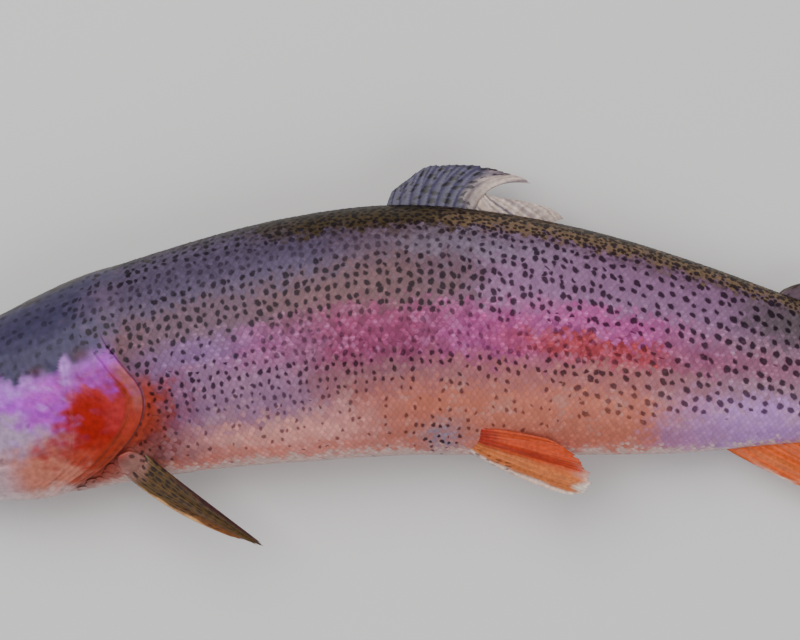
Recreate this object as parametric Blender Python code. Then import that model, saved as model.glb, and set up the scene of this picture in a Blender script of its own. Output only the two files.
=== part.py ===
"""Rainbow trout, life size, lying on its right side, as one named solid for each part of the body.

The fish is drawn straight first, in fish coordinates in millimetres: s runs from the snout to the tail,
h up towards the back and t out towards the fish's left flank. bent() then curves it: the back arches in
the plane of the floor, and the snout and tail droop on to the floor. World +X points to the tail, +Y to
the back, and +Z up, out of the left flank. The origin is under the middle of the fish, on the floor.
"""

import math

import bmesh
import bpy
import numpy as np
from mathutils import Vector

MM = 0.001

# Driving sizes, in millimetres and degrees.
STANDARD_LENGTH = 400.0  # snout to the end of the tail stalk
GAP = 0.3  # between pieces that touch
HEAD_PITCH = 17.5  # the head points down by this
TAIL_PITCH = -9.5  # and the tail by this
BEND_MIDDLE = 180.0
BEND_REACH = 75.0
FLANK_FLAT = 1.2  # how deep the floor presses into the right flank
HEAD_DROOP = 4.0  # how far the snout's centre line sinks from the level of the trunk
HEAD_DROOP_FROM = 60.0
TAIL_DROOP = 16.5
TAIL_DROOP_FROM = 210.0
FIN_FLOOR_CLEARANCE = 0.3
LEAST_FIN = 0.55  # the thinnest edge of a fin

# The fish's lines: place along the body, back, belly, half width, and how square the upper and lower
# halves of the section are (2 is an ellipse, more is squarer, less is keener).
LINES = (
    (0.0, -3.4, -4.6, 0.8, 2.0, 2.0),
    (3.0, 3.0, -10.0, 6.3, 2.2, 2.0),
    (10.0, 9.5, -15.5, 10.2, 2.3, 1.9),
    (30.0, 21.0, -25.0, 15.8, 2.4, 1.8),
    (50.0, 30.0, -31.0, 20.0, 2.3, 1.8),
    (84.0, 36.5, -34.5, 24.0, 2.1, 1.9),
    (120.0, 39.5, -38.5, 24.8, 2.0, 2.1),
    (155.0, 42.0, -42.0, 25.0, 2.0, 2.2),
    (190.0, 43.0, -43.0, 24.8, 2.0, 2.2),
    (222.0, 40.3, -42.8, 23.8, 2.0, 2.2),
    (257.0, 35.8, -40.0, 21.5, 2.0, 2.1),
    (292.0, 29.5, -35.0, 17.3, 2.0, 2.0),
    (326.0, 22.8, -27.0, 12.5, 2.0, 2.0),
    (362.0, 18.5, -19.5, 8.2, 2.1, 2.1),
    (392.0, 19.8, -19.8, 4.4, 2.2, 2.2),
    (402.0, 18.6, -18.6, 1.6, 2.0, 2.0),
)
RING_POINTS = 32

# The gill opening, from the side: the rear edge of the gill cover is a bulging curve.
GILL_EDGE = 99.5
GILL_EDGE_HEIGHT = -9.0
GILL_CURVE_ABOVE = 0.023
GILL_CURVE_BELOW = 0.048
GILL_TOP = 6.0
GILL_FOOT = -31.0
GILL_SWELL = 0.8  # how far the gill covers stand out from the shoulder
NAPE = 90.0

TRUNK_JOINTS = (155.0, 250.0, 345.0)
TAIL_END = 402.0

EYE_PLACE = (30.0, 7.0)
EYE_RADIUS = 7.2
EYE_DEPTH = 5.2
EYE_CENTRE_OUT = 11.2


def curve_through(stations, values, where):
    """A smooth curve through (station, value) points: cubic pieces, with slopes from their neighbours."""
    stations, values = np.asarray(stations, float), np.asarray(values, float)
    slopes = np.gradient(values, stations)
    where = np.asarray(where, float)
    i = np.clip(np.searchsorted(stations, where) - 1, 0, len(stations) - 2)
    step = stations[i + 1] - stations[i]
    u = np.clip((where - stations[i]) / step, 0, 1)
    return (
        (2 * u**3 - 3 * u**2 + 1) * values[i]
        + (u**3 - 2 * u**2 + u) * step * slopes[i]
        + (3 * u**2 - 2 * u**3) * values[i + 1]
        + (u**3 - u**2) * step * slopes[i + 1]
    )


def line(column, s):
    """One column of LINES at s. It is read over the square root of s, which rounds the snout."""
    table = np.array(LINES)
    return curve_through(np.sqrt(table[:, 0]), table[:, column], np.sqrt(np.maximum(s, 0)))


def pitch(s):
    """The slope of the centre line in the plane of the floor, in radians."""
    middle = (HEAD_PITCH + TAIL_PITCH) / 2
    swing = (HEAD_PITCH - TAIL_PITCH) / 2
    return np.radians(middle - swing * np.tanh((s - BEND_MIDDLE) / BEND_REACH))


def make_centre_line():
    """Places along the fish with the world X and Y of its centre line, found by adding up short steps."""
    along = np.arange(-20.0, 500.0, 0.5)
    slope = pitch(along + 0.25)[:-1]
    x = np.concatenate([[0], np.cumsum(np.cos(slope) * 0.5)])
    y = np.concatenate([[0], np.cumsum(np.sin(slope) * 0.5)])
    return along, x, y


CENTRE_LINE = make_centre_line()


def height_of_centre(s):
    """How high the centre line is above the floor: level in the trunk, drooping to snout and tail."""
    widest = max(row[3] for row in LINES)
    head = HEAD_DROOP * (np.maximum(HEAD_DROOP_FROM - s, 0) / HEAD_DROOP_FROM) ** 2
    tail_reach = (np.maximum(s - TAIL_DROOP_FROM, 0)) / (STANDARD_LENGTH - TAIL_DROOP_FROM)
    return widest - FLANK_FLAT - head - TAIL_DROOP * tail_reach**1.5


def bent(points, lowest=0.0):
    """Fish coordinates (s, h, t) in millimetres to world metres, kept at or above the height lowest."""
    s, h, t = np.asarray(points, float).reshape(-1, 3).T
    along, x, y = CENTRE_LINE
    slope = pitch(s)
    world = np.stack(
        [
            np.interp(s, along, x) - h * np.sin(slope),
            np.interp(s, along, y) + h * np.cos(slope),
            np.maximum(height_of_centre(s) + t, lowest),
        ],
        axis=1,
    )
    return world * MM


def section(s, grow=0.0, swell=0.0):
    """One ring of (s, h, t) points round the body: a superellipse, squarer or keener above and below."""
    back, belly, width, above, below = (line(c, s) for c in range(1, 6))
    middle, half = (back + belly) / 2, (back - belly) / 2 + grow
    angle = np.linspace(0, 2 * math.pi, RING_POINTS, endpoint=False)
    up, out = np.sin(angle), np.cos(angle)
    power = 2 / np.where(up >= 0, above, below)
    h = middle + half * np.sign(up) * np.abs(up) ** power
    t = (width + grow + swell) * np.sign(out) * np.abs(out) ** power
    return np.stack([np.full(RING_POINTS, s), h, t], axis=1)


def gill_swell(s):
    """The gill covers stand out most just before their rear edge."""
    return GILL_SWELL * math.exp(-(((s - GILL_EDGE + 8) / 16) ** 2))


def material(name, colour, roughness=0.35, metallic=0.0):
    made = bpy.data.materials.get(name)
    if made is None:
        made = bpy.data.materials.new(name)
        made.use_nodes = True
        shader = made.node_tree.nodes["Principled BSDF"]
        shader.inputs["Base Color"].default_value = (*colour, 1)
        shader.inputs["Roughness"].default_value = roughness
        shader.inputs["Metallic"].default_value = metallic
    return made


def hide(obj):
    obj.hide_render = True
    obj.display_type = "WIRE"
    return obj


def make_object(name, mesh_data, skin):
    """A mesh object from a bmesh, with its faces turned out, smooth but for its sharp edges."""
    bmesh.ops.recalc_face_normals(mesh_data, faces=mesh_data.faces)
    mesh = bpy.data.meshes.new(name)
    mesh_data.to_mesh(mesh)
    mesh_data.free()
    mesh.shade_smooth()
    mesh.set_sharp_from_angle(angle=math.radians(40))
    obj = bpy.data.objects.new(name, mesh)
    bpy.context.scene.collection.objects.link(obj)
    if skin is not None:
        mesh.materials.append(skin)
    return obj


def loft(name, places, skin, grow=0.0, swell=False):
    """A closed length of the body: a ring at each place, joined, with its two ends filled."""
    mesh = bmesh.new()
    rings = []
    for s in places:
        points = bent(section(s, grow, gill_swell(s) if swell else 0.0), -grow)
        rings.append([mesh.verts.new(p) for p in points])
    for one, two in zip(rings, rings[1:]):
        for k in range(RING_POINTS):
            after = (k + 1) % RING_POINTS
            mesh.faces.new((one[k], one[after], two[after], two[k]))
    mesh.faces.new(rings[0])
    mesh.faces.new(rings[-1])
    return make_object(name, mesh, skin)


def places(start, end, step):
    """Evenly spaced places from start to end, about a step apart."""
    return np.linspace(start, end, max(2, round((end - start) / step) + 1))


def snout_places(end, step):
    """Places that crowd at the snout, where the sections change fast."""
    count = round(end / step) + 4
    return end * np.linspace(0, 1, count) ** 1.6


def prism(name, outline, low, high):
    """A hidden cutter: an outline of (s, h) points seen from the side, filled from t = low to t = high."""
    mesh = bmesh.new()
    ends = []
    for t in (low, high):
        world = bent([(s, h, t) for s, h in outline], -100.0)
        ends.append([mesh.verts.new(p) for p in world])
    count = len(outline)
    for k in range(count):
        after = (k + 1) % count
        mesh.faces.new((ends[0][k], ends[0][after], ends[1][after], ends[1][k]))
    caps = [mesh.faces.new(ends[0]), mesh.faces.new(ends[1])]
    bmesh.ops.triangulate(mesh, faces=caps)
    return hide(make_object(name, mesh, None))


def grown(outline, by):
    """The outline moved out by a distance, corner by corner."""
    points = np.asarray(outline, float)
    before, after = points - np.roll(points, 1, axis=0), np.roll(points, -1, axis=0) - points
    turn = np.sum(points[:, 0] * np.roll(points[:, 1], -1) - np.roll(points[:, 0], -1) * points[:, 1])
    normals = []
    for edge in (before, after):
        unit = edge / np.linalg.norm(edge, axis=1, keepdims=True)
        normals.append(np.stack([unit[:, 1], -unit[:, 0]], axis=1) * np.sign(turn))
    middle = normals[0] + normals[1]
    scale = np.sum(middle * normals[0], axis=1, keepdims=True)
    return [tuple(p) for p in points + by * middle / np.maximum(scale, 0.4)]


def cut(obj, tool, operation="DIFFERENCE"):
    modifier = obj.modifiers.new(f"{operation.lower()} {tool.name}", "BOOLEAN")
    modifier.operation = operation
    modifier.solver = "EXACT"
    modifier.object = tool
    return obj


# --- The outlines that divide the head, seen from the side --------------------------------------------


def gill_edge(h):
    """Where the gill cover ends, at height h."""
    h = np.asarray(h, float)
    bulge = np.where(h > GILL_EDGE_HEIGHT, GILL_CURVE_ABOVE, GILL_CURVE_BELOW)
    return GILL_EDGE - bulge * (h - GILL_EDGE_HEIGHT) ** 2


def head_outline():
    """All that lies in front of the gill opening and the nape."""
    heights = np.linspace(GILL_TOP, GILL_FOOT, 12)
    edge = list(zip(gill_edge(heights), heights))
    return [(-20, 70), (NAPE, 70), (NAPE, 24), *edge, (66, -36), (58, -60), (-20, -60)]


def gill_cover_outline():
    """The gill cover, from the edge of the cheek to past the gill opening."""
    past = [(GILL_EDGE + 6, 9.5), (GILL_EDGE + 6, GILL_FOOT + 2)]
    cheek = [(66, GILL_FOOT + 2), (71, -18), (74, -9), (75.5, 1), (76.5, 9.5)]
    return [*past, *cheek]


def lower_jaw_outline():
    return [(-6, -5), (12, -8.6), (30, -13), (47, -18.6), (53, -24), (52, -29), (46, -50), (-6, -50)]


def maxilla_outline():
    """The blade of the upper jaw, which lies along the mouth and ends rounded behind the eye."""
    return [
        (9, -3.2),
        (22, -5.2),
        (34, -7.9),
        (42, -10.4),
        (46, -12.6),
        (46.5, -15.2),
        (44, -16.6),
        (28, -11.4),
        (12, -7.4),
    ]


def body_side(left, inner):
    """The t range of a cutter on one flank, from inner out past the skin."""
    return (inner, 60.0) if left else (-60.0, -inner)


def build_head():
    skin = material("head_skin", (0.16, 0.17, 0.20))
    cheek = material("gill_cover_skin", (0.62, 0.10, 0.06), 0.3)
    jaw = material("jaw_skin", (0.55, 0.45, 0.38))
    block_places = snout_places(GILL_EDGE + 2, 5.4)
    region = prism("cutter_head", head_outline(), -60, 60)

    def piece(name, skin_of_piece):
        made = loft(name, block_places, skin_of_piece, swell=True)
        return cut(made, region, "INTERSECT")

    head = piece("head", skin)
    jaw_tool = prism("cutter_lower_jaw", lower_jaw_outline(), -60, 60)
    lower_jaw = cut(piece("lower_jaw", jaw), jaw_tool, "INTERSECT")
    made = [head, lower_jaw]
    cut(head, prism("cutter_lower_jaw_room", grown(lower_jaw_outline(), GAP), -60, 60))
    sides = (
        ("gill_cover", gill_cover_outline(), 13.0, cheek),
        ("maxilla", maxilla_outline(), 9.0, skin),
    )
    for name, outline, inner, skin_of_piece in sides:
        for side, left in (("left", True), ("right", False)):
            low, high = body_side(left, inner)
            tool = prism(f"cutter_{name}_{side}", outline, low, high)
            made.append(cut(piece(f"{name}_{side}", skin_of_piece), tool, "INTERSECT"))
            low, high = body_side(left, inner - GAP)
            room = prism(f"cutter_{name}_{side}_room", grown(outline, GAP), low, high)
            cut(head, room)
    for side, sign in (("left", 1), ("right", -1)):
        made.append(build_eye(f"eye_{side}", sign, 0.0))
        cut(head, hide(build_eye(f"cutter_eye_{side}", sign, GAP)))
    return made


def build_eye(name, sign, grow):
    """A flattened ball, set in the side of the head and facing out and a little up."""
    centre = Vector(bent([(*EYE_PLACE, sign * EYE_CENTRE_OUT)])[0])
    mesh = bmesh.new()
    bmesh.ops.create_uvsphere(mesh, u_segments=20, v_segments=10, radius=1)
    for vertex in mesh.verts:
        vertex.co.x *= (EYE_RADIUS + grow) * MM
        vertex.co.y *= (EYE_RADIUS + grow) * MM
        vertex.co.z *= (EYE_DEPTH + grow) * MM
    made = make_object(name, mesh, material("eye", (0.03, 0.03, 0.035), 0.08))
    made.location = centre
    made.rotation_euler = (math.radians(-14 * sign), math.radians(-9 * sign), 0)
    return made


# --- Trunk and tail stalk -----------------------------------------------------------------------------


def build_trunk():
    flank = material("flank_skin", (0.36, 0.31, 0.32))
    room = prism("cutter_head_room", grown(head_outline(), GAP), -60, 60)
    first, second, third = TRUNK_JOINTS
    half = GAP / 2
    front = loft("trunk_front", places(56, first - half, 9), flank)
    cut(front, room)
    return [
        front,
        loft("trunk_middle", places(first + half, second - half, 9.5), flank),
        loft("trunk_rear", places(second + half, third - half, 9.5), flank),
        loft("tail_stalk", places(third + half, TAIL_END, 7), flank),
    ]


# --- Fins ---------------------------------------------------------------------------------------------


def fin(name, skin, root, tips, tilt, thickness, steps=6):
    """A fin blade of rays that fan out of a root line, thick at the root and thin at the edge.

    root holds the feet of the first and the last ray as (s, h, t). Each ray is a row of tips: its share of
    the way along the root, its tip's s, h and t, and how far its middle bows out of the straight, which is
    to the left of the ray as it runs. tilt turns the blade's thickness about the body's length, in degrees.
    A ray that would pass through the floor lies on it instead.
    """
    first, last = (np.array(p, float) for p in root)
    along = np.linspace(0, 1, steps)[:, None]
    tilted = math.radians(tilt)
    out = np.array([0, -math.sin(tilted), math.cos(tilted)])
    root_thick, edge_thick = thickness
    sheets = ([], [])
    for share, s, h, t, bow in tips:
        foot, tip = first + (last - first) * share, np.array([s, h, t], float)
        run = tip - foot
        side = np.array([-run[1], run[0], 0]) / np.hypot(run[0], run[1])
        bend = (foot + tip) / 2 + 2 * bow * side
        ray = foot * (1 - along) ** 2 + 2 * bend * along * (1 - along) + tip * along**2
        edge = 1 - 0.45 * (2 * share - 1) ** 6
        half = (root_thick + (edge_thick - root_thick) * along[:, 0] ** 0.6) * edge / 2
        half = np.maximum(half, LEAST_FIN / 2)
        floor = FIN_FLOOR_CLEARANCE + half - height_of_centre(ray[:, 0])
        ray[:, 2] = np.maximum(ray[:, 2], floor)
        sheets[0].append(ray + np.outer(half, out))
        sheets[1].append(ray - np.outer(half, out))
    mesh = bmesh.new()
    layers = [[[mesh.verts.new(p) for p in bent(ray)] for ray in sheet] for sheet in sheets]
    close_blade(mesh, layers, len(tips), steps)
    bmesh.ops.triangulate(mesh, faces=mesh.faces)
    return make_object(name, mesh, skin)


def close_blade(mesh, layers, rays, steps):
    """Faces for both sides of a blade, and a strip round its border."""
    for layer in layers:
        for i in range(rays - 1):
            for j in range(steps - 1):
                mesh.faces.new((layer[i][j], layer[i + 1][j], layer[i + 1][j + 1], layer[i][j + 1]))
    border = [(i, 0) for i in range(rays - 1)]
    border += [(rays - 1, j) for j in range(steps - 1)]
    border += [(i, steps - 1) for i in range(rays - 1, 0, -1)]
    border += [(0, j) for j in range(steps - 1, 0, -1)]
    one, two = layers
    for (i, j), (m, n) in zip(border, border[1:] + border[:1]):
        mesh.faces.new((one[i][j], one[m][n], two[m][n], two[i][j]))


# Each fin's rays: share of the root, the tip's s, h and t, and the bow.
DORSAL_RAYS = (
    (0.00, 188.1, 47.5, 0.0, 0.3),
    (0.08, 191.5, 50.4, -0.2, 0.6),
    (0.15, 197.5, 55.2, -0.5, 0.9),
    (0.23, 203.0, 56.4, -0.8, 1.5),
    (0.31, 209.0, 56.4, -1.0, 2.2),
    (0.38, 215.0, 56.2, -1.2, 3.0),
    (0.44, 220.3, 54.9, -1.4, 4.2),
    (0.50, 226.0, 53.4, -1.5, 5.0),
    (0.54, 231.2, 50.2, -1.6, 5.8),
    (0.58, 226.5, 50.0, -1.5, 5.5),
    (0.62, 219.5, 49.6, -1.2, 3.6),
    (0.67, 218.0, 47.6, -0.8, 0.6),
    (0.74, 222.5, 45.6, -0.6, 0.8),
    (0.82, 230.0, 44.6, -0.5, 1.2),
    (0.90, 237.0, 42.8, -0.4, 1.4),
    (1.00, 241.5, 39.8, -0.3, 1.0),
)
ADIPOSE_RAYS = (
    (0.00, 317.5, 25.9, 0.0, 0.3),
    (0.15, 321.0, 28.0, 0.0, 0.6),
    (0.30, 326.0, 29.9, -0.2, 1.0),
    (0.50, 331.5, 30.8, -0.4, 1.4),
    (0.70, 336.5, 30.0, -0.5, 1.6),
    (0.85, 338.3, 28.2, -0.5, 1.6),
    (1.00, 335.5, 26.2, -0.3, 1.4),
)
ANAL_RAYS = (
    (0.00, 341.0, -42.4, 1.0, -0.9),
    (0.06, 345.0, -43.2, 1.2, -1.0),
    (0.13, 348.5, -42.4, 1.4, -1.0),
    (0.22, 350.0, -40.2, 1.4, -0.9),
    (0.33, 350.2, -37.3, 1.3, -0.8),
    (0.45, 350.4, -34.6, 1.1, -0.7),
    (0.58, 351.0, -32.0, 0.9, -0.6),
    (0.71, 352.0, -29.4, 0.7, -0.5),
    (0.85, 353.4, -26.8, 0.5, -0.4),
    (1.00, 355.0, -24.0, 0.3, -0.3),
)
TAIL_LOBE_RAYS = (
    (0.00, 437.0, 46.0, 0.0, 1.4),
    (0.05, 445.0, 49.2, 0.0, 1.5),
    (0.11, 448.5, 48.2, 0.0, 1.4),
    (0.19, 449.0, 44.6, 0.0, 1.2),
    (0.29, 447.4, 39.2, 0.0, 1.0),
    (0.40, 445.0, 32.6, 0.0, 0.8),
    (0.52, 442.2, 25.6, 0.0, 0.6),
    (0.64, 439.6, 18.8, 0.0, 0.4),
    (0.76, 437.6, 12.4, 0.0, 0.3),
    (0.88, 436.2, 6.4, 0.0, 0.1),
    (1.00, 435.4, 0.4, 0.0, 0.0),
)
LEFT_PECTORAL_RAYS = (
    (0.00, 127.1, -65.2, 9.0, -1.0),
    (0.12, 127.9, -66.1, 8.6, -1.2),
    (0.28, 128.1, -66.9, 8.2, -1.5),
    (0.46, 126.8, -66.3, 7.8, -1.8),
    (0.64, 124.2, -65.0, 7.4, -2.0),
    (0.82, 120.5, -63.2, 7.0, -2.2),
    (1.00, 115.7, -60.6, 6.6, -2.4),
)
RIGHT_PECTORAL_RAYS = (
    (0.00, 150.0, -27.0, -23.0, 0.6),
    (0.15, 153.0, -29.0, -23.0, 0.5),
    (0.32, 153.0, -31.5, -23.0, 0.3),
    (0.50, 150.0, -33.5, -23.0, 0.1),
    (0.68, 145.0, -35.3, -23.0, 0.0),
    (0.84, 139.0, -36.3, -23.0, -0.2),
    (1.00, 132.0, -36.5, -23.0, -0.4),
)
LEFT_PELVIC_RAYS = (
    (0.00, 243.5, -35.4, 15.2, 0.6),
    (0.16, 250.0, -38.4, 14.4, 0.4),
    (0.32, 255.4, -42.0, 13.2, 0.2),
    (0.48, 258.8, -45.6, 12.0, -0.2),
    (0.64, 260.4, -49.0, 11.0, -0.7),
    (0.78, 259.4, -51.8, 10.2, -1.2),
    (0.90, 256.2, -53.4, 9.6, -1.6),
    (1.00, 251.0, -53.5, 9.2, -1.9),
)
RIGHT_PELVIC_RAYS = (
    (0.00, 244.0, -31.5, -18.6, 0.4),
    (0.18, 250.5, -33.4, -19.4, 0.2),
    (0.36, 254.4, -35.6, -20.2, 0.0),
    (0.54, 256.0, -37.8, -20.8, -0.2),
    (0.70, 255.2, -39.8, -21.0, -0.5),
    (0.86, 252.0, -41.2, -21.0, -0.8),
    (1.00, 246.5, -41.6, -20.6, -1.0),
)


def mirrored(rays):
    """The same rays below the middle of the tail: heights and bows change sign."""
    return [(share, s, -h, t, -bow) for share, s, h, t, bow in rays]


def build_fins():
    spotted = material("spotted_fin", (0.22, 0.22, 0.26), 0.45)
    olive = material("pectoral_fin", (0.22, 0.15, 0.08), 0.45)
    orange = material("orange_fin", (0.72, 0.26, 0.05), 0.4)
    lower_lobe = mirrored(TAIL_LOBE_RAYS)
    unpaired = (
        ("dorsal_fin", spotted, ((185.5, 39, 0), (234, 34, 0)), DORSAL_RAYS, (3.4, 0.7)),
        ("adipose_fin", spotted, ((313, 20, 0), (328, 18, 0)), ADIPOSE_RAYS, (3.6, 1.6)),
        ("anal_fin", orange, ((299.5, -29, 0), (340, -18.5, 0)), ANAL_RAYS, (3.8, 0.8)),
        ("caudal_fin_upper", spotted, ((392, 18.6, 0), (398, 0.4, 0)), TAIL_LOBE_RAYS, (4.2, 0.9)),
        ("caudal_fin_lower", spotted, ((392, -18.6, 0), (398, -0.4, 0)), lower_lobe, (4.2, 0.9)),
    )
    made = [fin(name, skin, root, rays, 0, thickness) for name, skin, root, rays, thickness in unpaired]
    left_pectoral = ((93.0, -24.2, 16.2), (84.5, -30.6, 9.8))
    right_pectoral = ((95, -23, -14), (89, -29, -11))
    left_pelvic = ((215, -32.8, 16.2), (211.5, -40.3, 8.6))
    right_pelvic = ((215, -33.5, -12.5), (212, -40.0, -8))
    paired = (
        ("pectoral_fin_left", olive, left_pectoral, LEFT_PECTORAL_RAYS, 14, (4.6, 0.9)),
        ("pectoral_fin_right", olive, right_pectoral, RIGHT_PECTORAL_RAYS, 10, (3.2, 0.8)),
        ("pelvic_fin_left", orange, left_pelvic, LEFT_PELVIC_RAYS, 12, (3.8, 0.8)),
        ("pelvic_fin_right", orange, right_pelvic, RIGHT_PELVIC_RAYS, 14, (3.4, 0.8)),
    )
    for name, skin, root, rays, tilt, thickness in paired:
        made.append(fin(name, skin, root, rays, tilt, thickness))
    return made


def rest_on_floor(objects):
    """Gives the whole fish one parent, which puts the middle of its box over the origin."""
    fish = bpy.data.objects.new("rainbow_trout", None)
    bpy.context.scene.collection.objects.link(fish)
    for obj in bpy.data.objects:
        if obj is not fish:
            obj.parent = fish
    bpy.context.view_layer.update()
    graph = bpy.context.evaluated_depsgraph_get()
    corners = []
    for obj in objects:
        evaluated = obj.evaluated_get(graph)
        corners += [evaluated.matrix_world @ Vector(c) for c in evaluated.bound_box]
    low = Vector(map(min, *corners))
    high = Vector(map(max, *corners))
    middle = (low + high) / 2
    fish.location = -Vector((middle.x, middle.y, low.z))


def main():
    for obj in list(bpy.data.objects):
        bpy.data.objects.remove(obj)
    whole = [*snout_places(GILL_EDGE, 5.4), *places(108, TAIL_END, 10)]
    flesh = hide(loft("cutter_flesh", whole, None, grow=GAP, swell=True))
    nodes = build_head() + build_trunk()
    for blade in build_fins():
        nodes.append(cut(blade, flesh))
    rest_on_floor(nodes)


main()
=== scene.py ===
# %% [markdown]
# # A rainbow trout, life size
#
# The fish lies on its right side, with its back arched a little and its left flank up, as a caught
# trout lies on a table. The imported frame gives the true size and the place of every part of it.
# This lesson clothes that frame: one skin, eyes, jaw blades, rayed fins, and a coat of scales.

# %% The frame
import math

import bpy
import numpy as np
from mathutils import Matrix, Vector


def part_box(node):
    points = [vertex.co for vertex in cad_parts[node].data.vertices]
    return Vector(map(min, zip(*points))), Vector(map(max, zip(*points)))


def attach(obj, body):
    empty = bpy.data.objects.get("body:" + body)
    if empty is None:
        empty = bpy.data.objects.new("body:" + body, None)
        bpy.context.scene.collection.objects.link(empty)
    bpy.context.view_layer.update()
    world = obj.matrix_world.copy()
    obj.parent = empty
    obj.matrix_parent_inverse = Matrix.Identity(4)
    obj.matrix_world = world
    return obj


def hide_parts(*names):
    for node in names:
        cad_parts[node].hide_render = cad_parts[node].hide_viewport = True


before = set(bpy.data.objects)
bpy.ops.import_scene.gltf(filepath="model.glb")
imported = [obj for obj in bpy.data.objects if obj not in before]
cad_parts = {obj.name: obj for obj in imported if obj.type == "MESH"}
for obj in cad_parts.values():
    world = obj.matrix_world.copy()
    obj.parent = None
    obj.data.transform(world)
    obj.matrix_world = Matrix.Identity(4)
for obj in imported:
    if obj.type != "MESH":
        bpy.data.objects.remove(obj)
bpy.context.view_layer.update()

MM = 0.001

# %% [markdown]
# ## Fish coordinates
#
# A fish is easiest to describe straight: s millimetres from the snout along the body, h up towards
# the back, and t out towards the left flank. Its shape could be sculpted, but a table of sections at a
# dozen places gives the same form with numbers that mean something: where the back and the belly
# are, how wide the body is, and how square. A smooth curve through each column fills in the rest.

# %% The fish's lines
# place, back, belly, half width, and how square the section is above and below
LINES = np.array([
    (0, -3.4, -4.6, 0.8, 2.0, 2.0), (3, 3.0, -10.0, 6.3, 2.2, 2.0),
    (10, 9.5, -15.5, 10.2, 2.3, 1.9), (30, 21.0, -25.0, 15.8, 2.4, 1.8),
    (50, 30.0, -31.0, 20.0, 2.3, 1.8), (84, 36.5, -34.5, 24.0, 2.1, 1.9),
    (120, 39.5, -38.5, 24.8, 2.0, 2.1), (155, 42.0, -42.0, 25.0, 2.0, 2.2),
    (190, 43.0, -43.0, 24.8, 2.0, 2.2), (222, 40.3, -42.8, 23.8, 2.0, 2.2),
    (257, 35.8, -40.0, 21.5, 2.0, 2.1), (292, 29.5, -35.0, 17.3, 2.0, 2.0),
    (326, 22.8, -27.0, 12.5, 2.0, 2.0), (362, 18.5, -19.5, 8.2, 2.1, 2.1),
    (392, 19.8, -19.8, 4.4, 2.2, 2.2), (402, 18.6, -18.6, 1.6, 2.0, 2.0)])
BODY_END = 402.0
WIDEST = LINES[:, 3].max()


def curve_through(stations, values, where):
    """A smooth curve through points: a cubic for each gap, with slopes taken from the neighbours."""
    stations, values = np.asarray(stations, float), np.asarray(values, float)
    slopes = np.gradient(values, stations)
    i = np.clip(np.searchsorted(stations, where) - 1, 0, len(stations) - 2)
    step = stations[i + 1] - stations[i]
    u = np.clip((where - stations[i]) / step, 0, 1)
    from_start = (1 + 2 * u) * (1 - u) ** 2 * values[i] + u * (1 - u) ** 2 * step * slopes[i]
    to_end = u * u * (3 - 2 * u) * values[i + 1] - u * u * (1 - u) * step * slopes[i + 1]
    return from_start + to_end


def body_line(column, s):
    """One column of LINES at s, read over the square root of s, which rounds the snout."""
    return curve_through(np.sqrt(LINES[:, 0]), LINES[:, column], np.sqrt(np.maximum(s, 0)))


def soft(low, high, x):
    """An S-shaped step: 0 before low, 1 past high, and 3uu - 2uuu between. It falls if high < low."""
    u = np.clip((x - low) / (high - low), 0, 1)
    return u * u * (3 - 2 * u)


print("half width at s = 190:", float(body_line(3, 190.0)), "mm")

# %% [markdown]
# ## The arch and the floor
#
# The straight fish is then bent: its back arches in the plane of the floor, and snout and tail
# droop on to it. A curve modifier could do this, but a formula bends every piece the same
# way, whenever it is made. The frame's left eye tells where the fish lies on the floor.

# %% Bending
HEAD_PITCH, TAIL_PITCH = 17.5, -9.5  # slopes of the centre line, in degrees
BEND_MIDDLE, BEND_REACH = 180.0, 75.0
FLANK_FLAT = 1.2  # how deep the floor presses into the right flank
HEAD_DROOP, HEAD_DROOP_FROM = 4.0, 60.0
TAIL_DROOP, TAIL_DROOP_FROM, TAIL_DROOP_TO = 16.5, 210.0, 400.0
TAIL_DROOP_POWER = 1.5
EYE_CENTRE = (30.0, 7.0, 11.2)
SKIN_FLOOR = 0.4  # the pressed flank stays this far above the floor, for the scales under it
ALONG_STEP = 0.5  # the centre line is added up in steps this long


def pitch(s):
    """The slope of the centre line: it swings smoothly from the head's to the tail's."""
    middle, swing = (HEAD_PITCH + TAIL_PITCH) / 2, (HEAD_PITCH - TAIL_PITCH) / 2
    return np.radians(middle - swing * np.tanh((s - BEND_MIDDLE) / BEND_REACH))


ALONG = np.arange(-20.0, 500.0, ALONG_STEP)
STEP_SLOPE = pitch(ALONG + ALONG_STEP / 2)[:-1]
CENTRE_X = np.concatenate([[0], np.cumsum(np.cos(STEP_SLOPE) * ALONG_STEP)])
CENTRE_Y = np.concatenate([[0], np.cumsum(np.sin(STEP_SLOPE) * ALONG_STEP)])


def height_of_centre(s):
    """The centre line's height: level in the trunk, a square law at the head, and a power at the tail."""
    head = HEAD_DROOP * (np.maximum(HEAD_DROOP_FROM - s, 0) / HEAD_DROOP_FROM) ** 2
    past = np.maximum(s - TAIL_DROOP_FROM, 0) / (TAIL_DROOP_TO - TAIL_DROOP_FROM)
    tail = TAIL_DROOP * past**TAIL_DROOP_POWER
    return WIDEST - FLANK_FLAT - head - tail


def bent(s, h, t, floor=0.0, shift=(0.0, 0.0, 0.0)):
    """Fish coordinates to metres: along the centre line, then h across its slope, then t up."""
    s, h, t = np.broadcast_arrays(*(np.asarray(a, float) for a in (s, h, t)))
    slope = pitch(s)
    x = np.interp(s, ALONG, CENTRE_X) - h * np.sin(slope)
    y = np.interp(s, ALONG, CENTRE_Y) + h * np.cos(slope)
    z = np.maximum(height_of_centre(s) + t, floor)
    return np.stack([x, y, z], axis=-1) * MM + np.asarray(shift)


eye_low, eye_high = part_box("eye_left")
SHIFT = np.array((eye_low + eye_high) / 2) - bent(*EYE_CENTRE)
SHIFT[2] = 0.0


def placed(s, h, t, floor=0.0):
    """Fish coordinates to their place in the frame, in metres."""
    return bent(s, h, t, floor, SHIFT)


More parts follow.
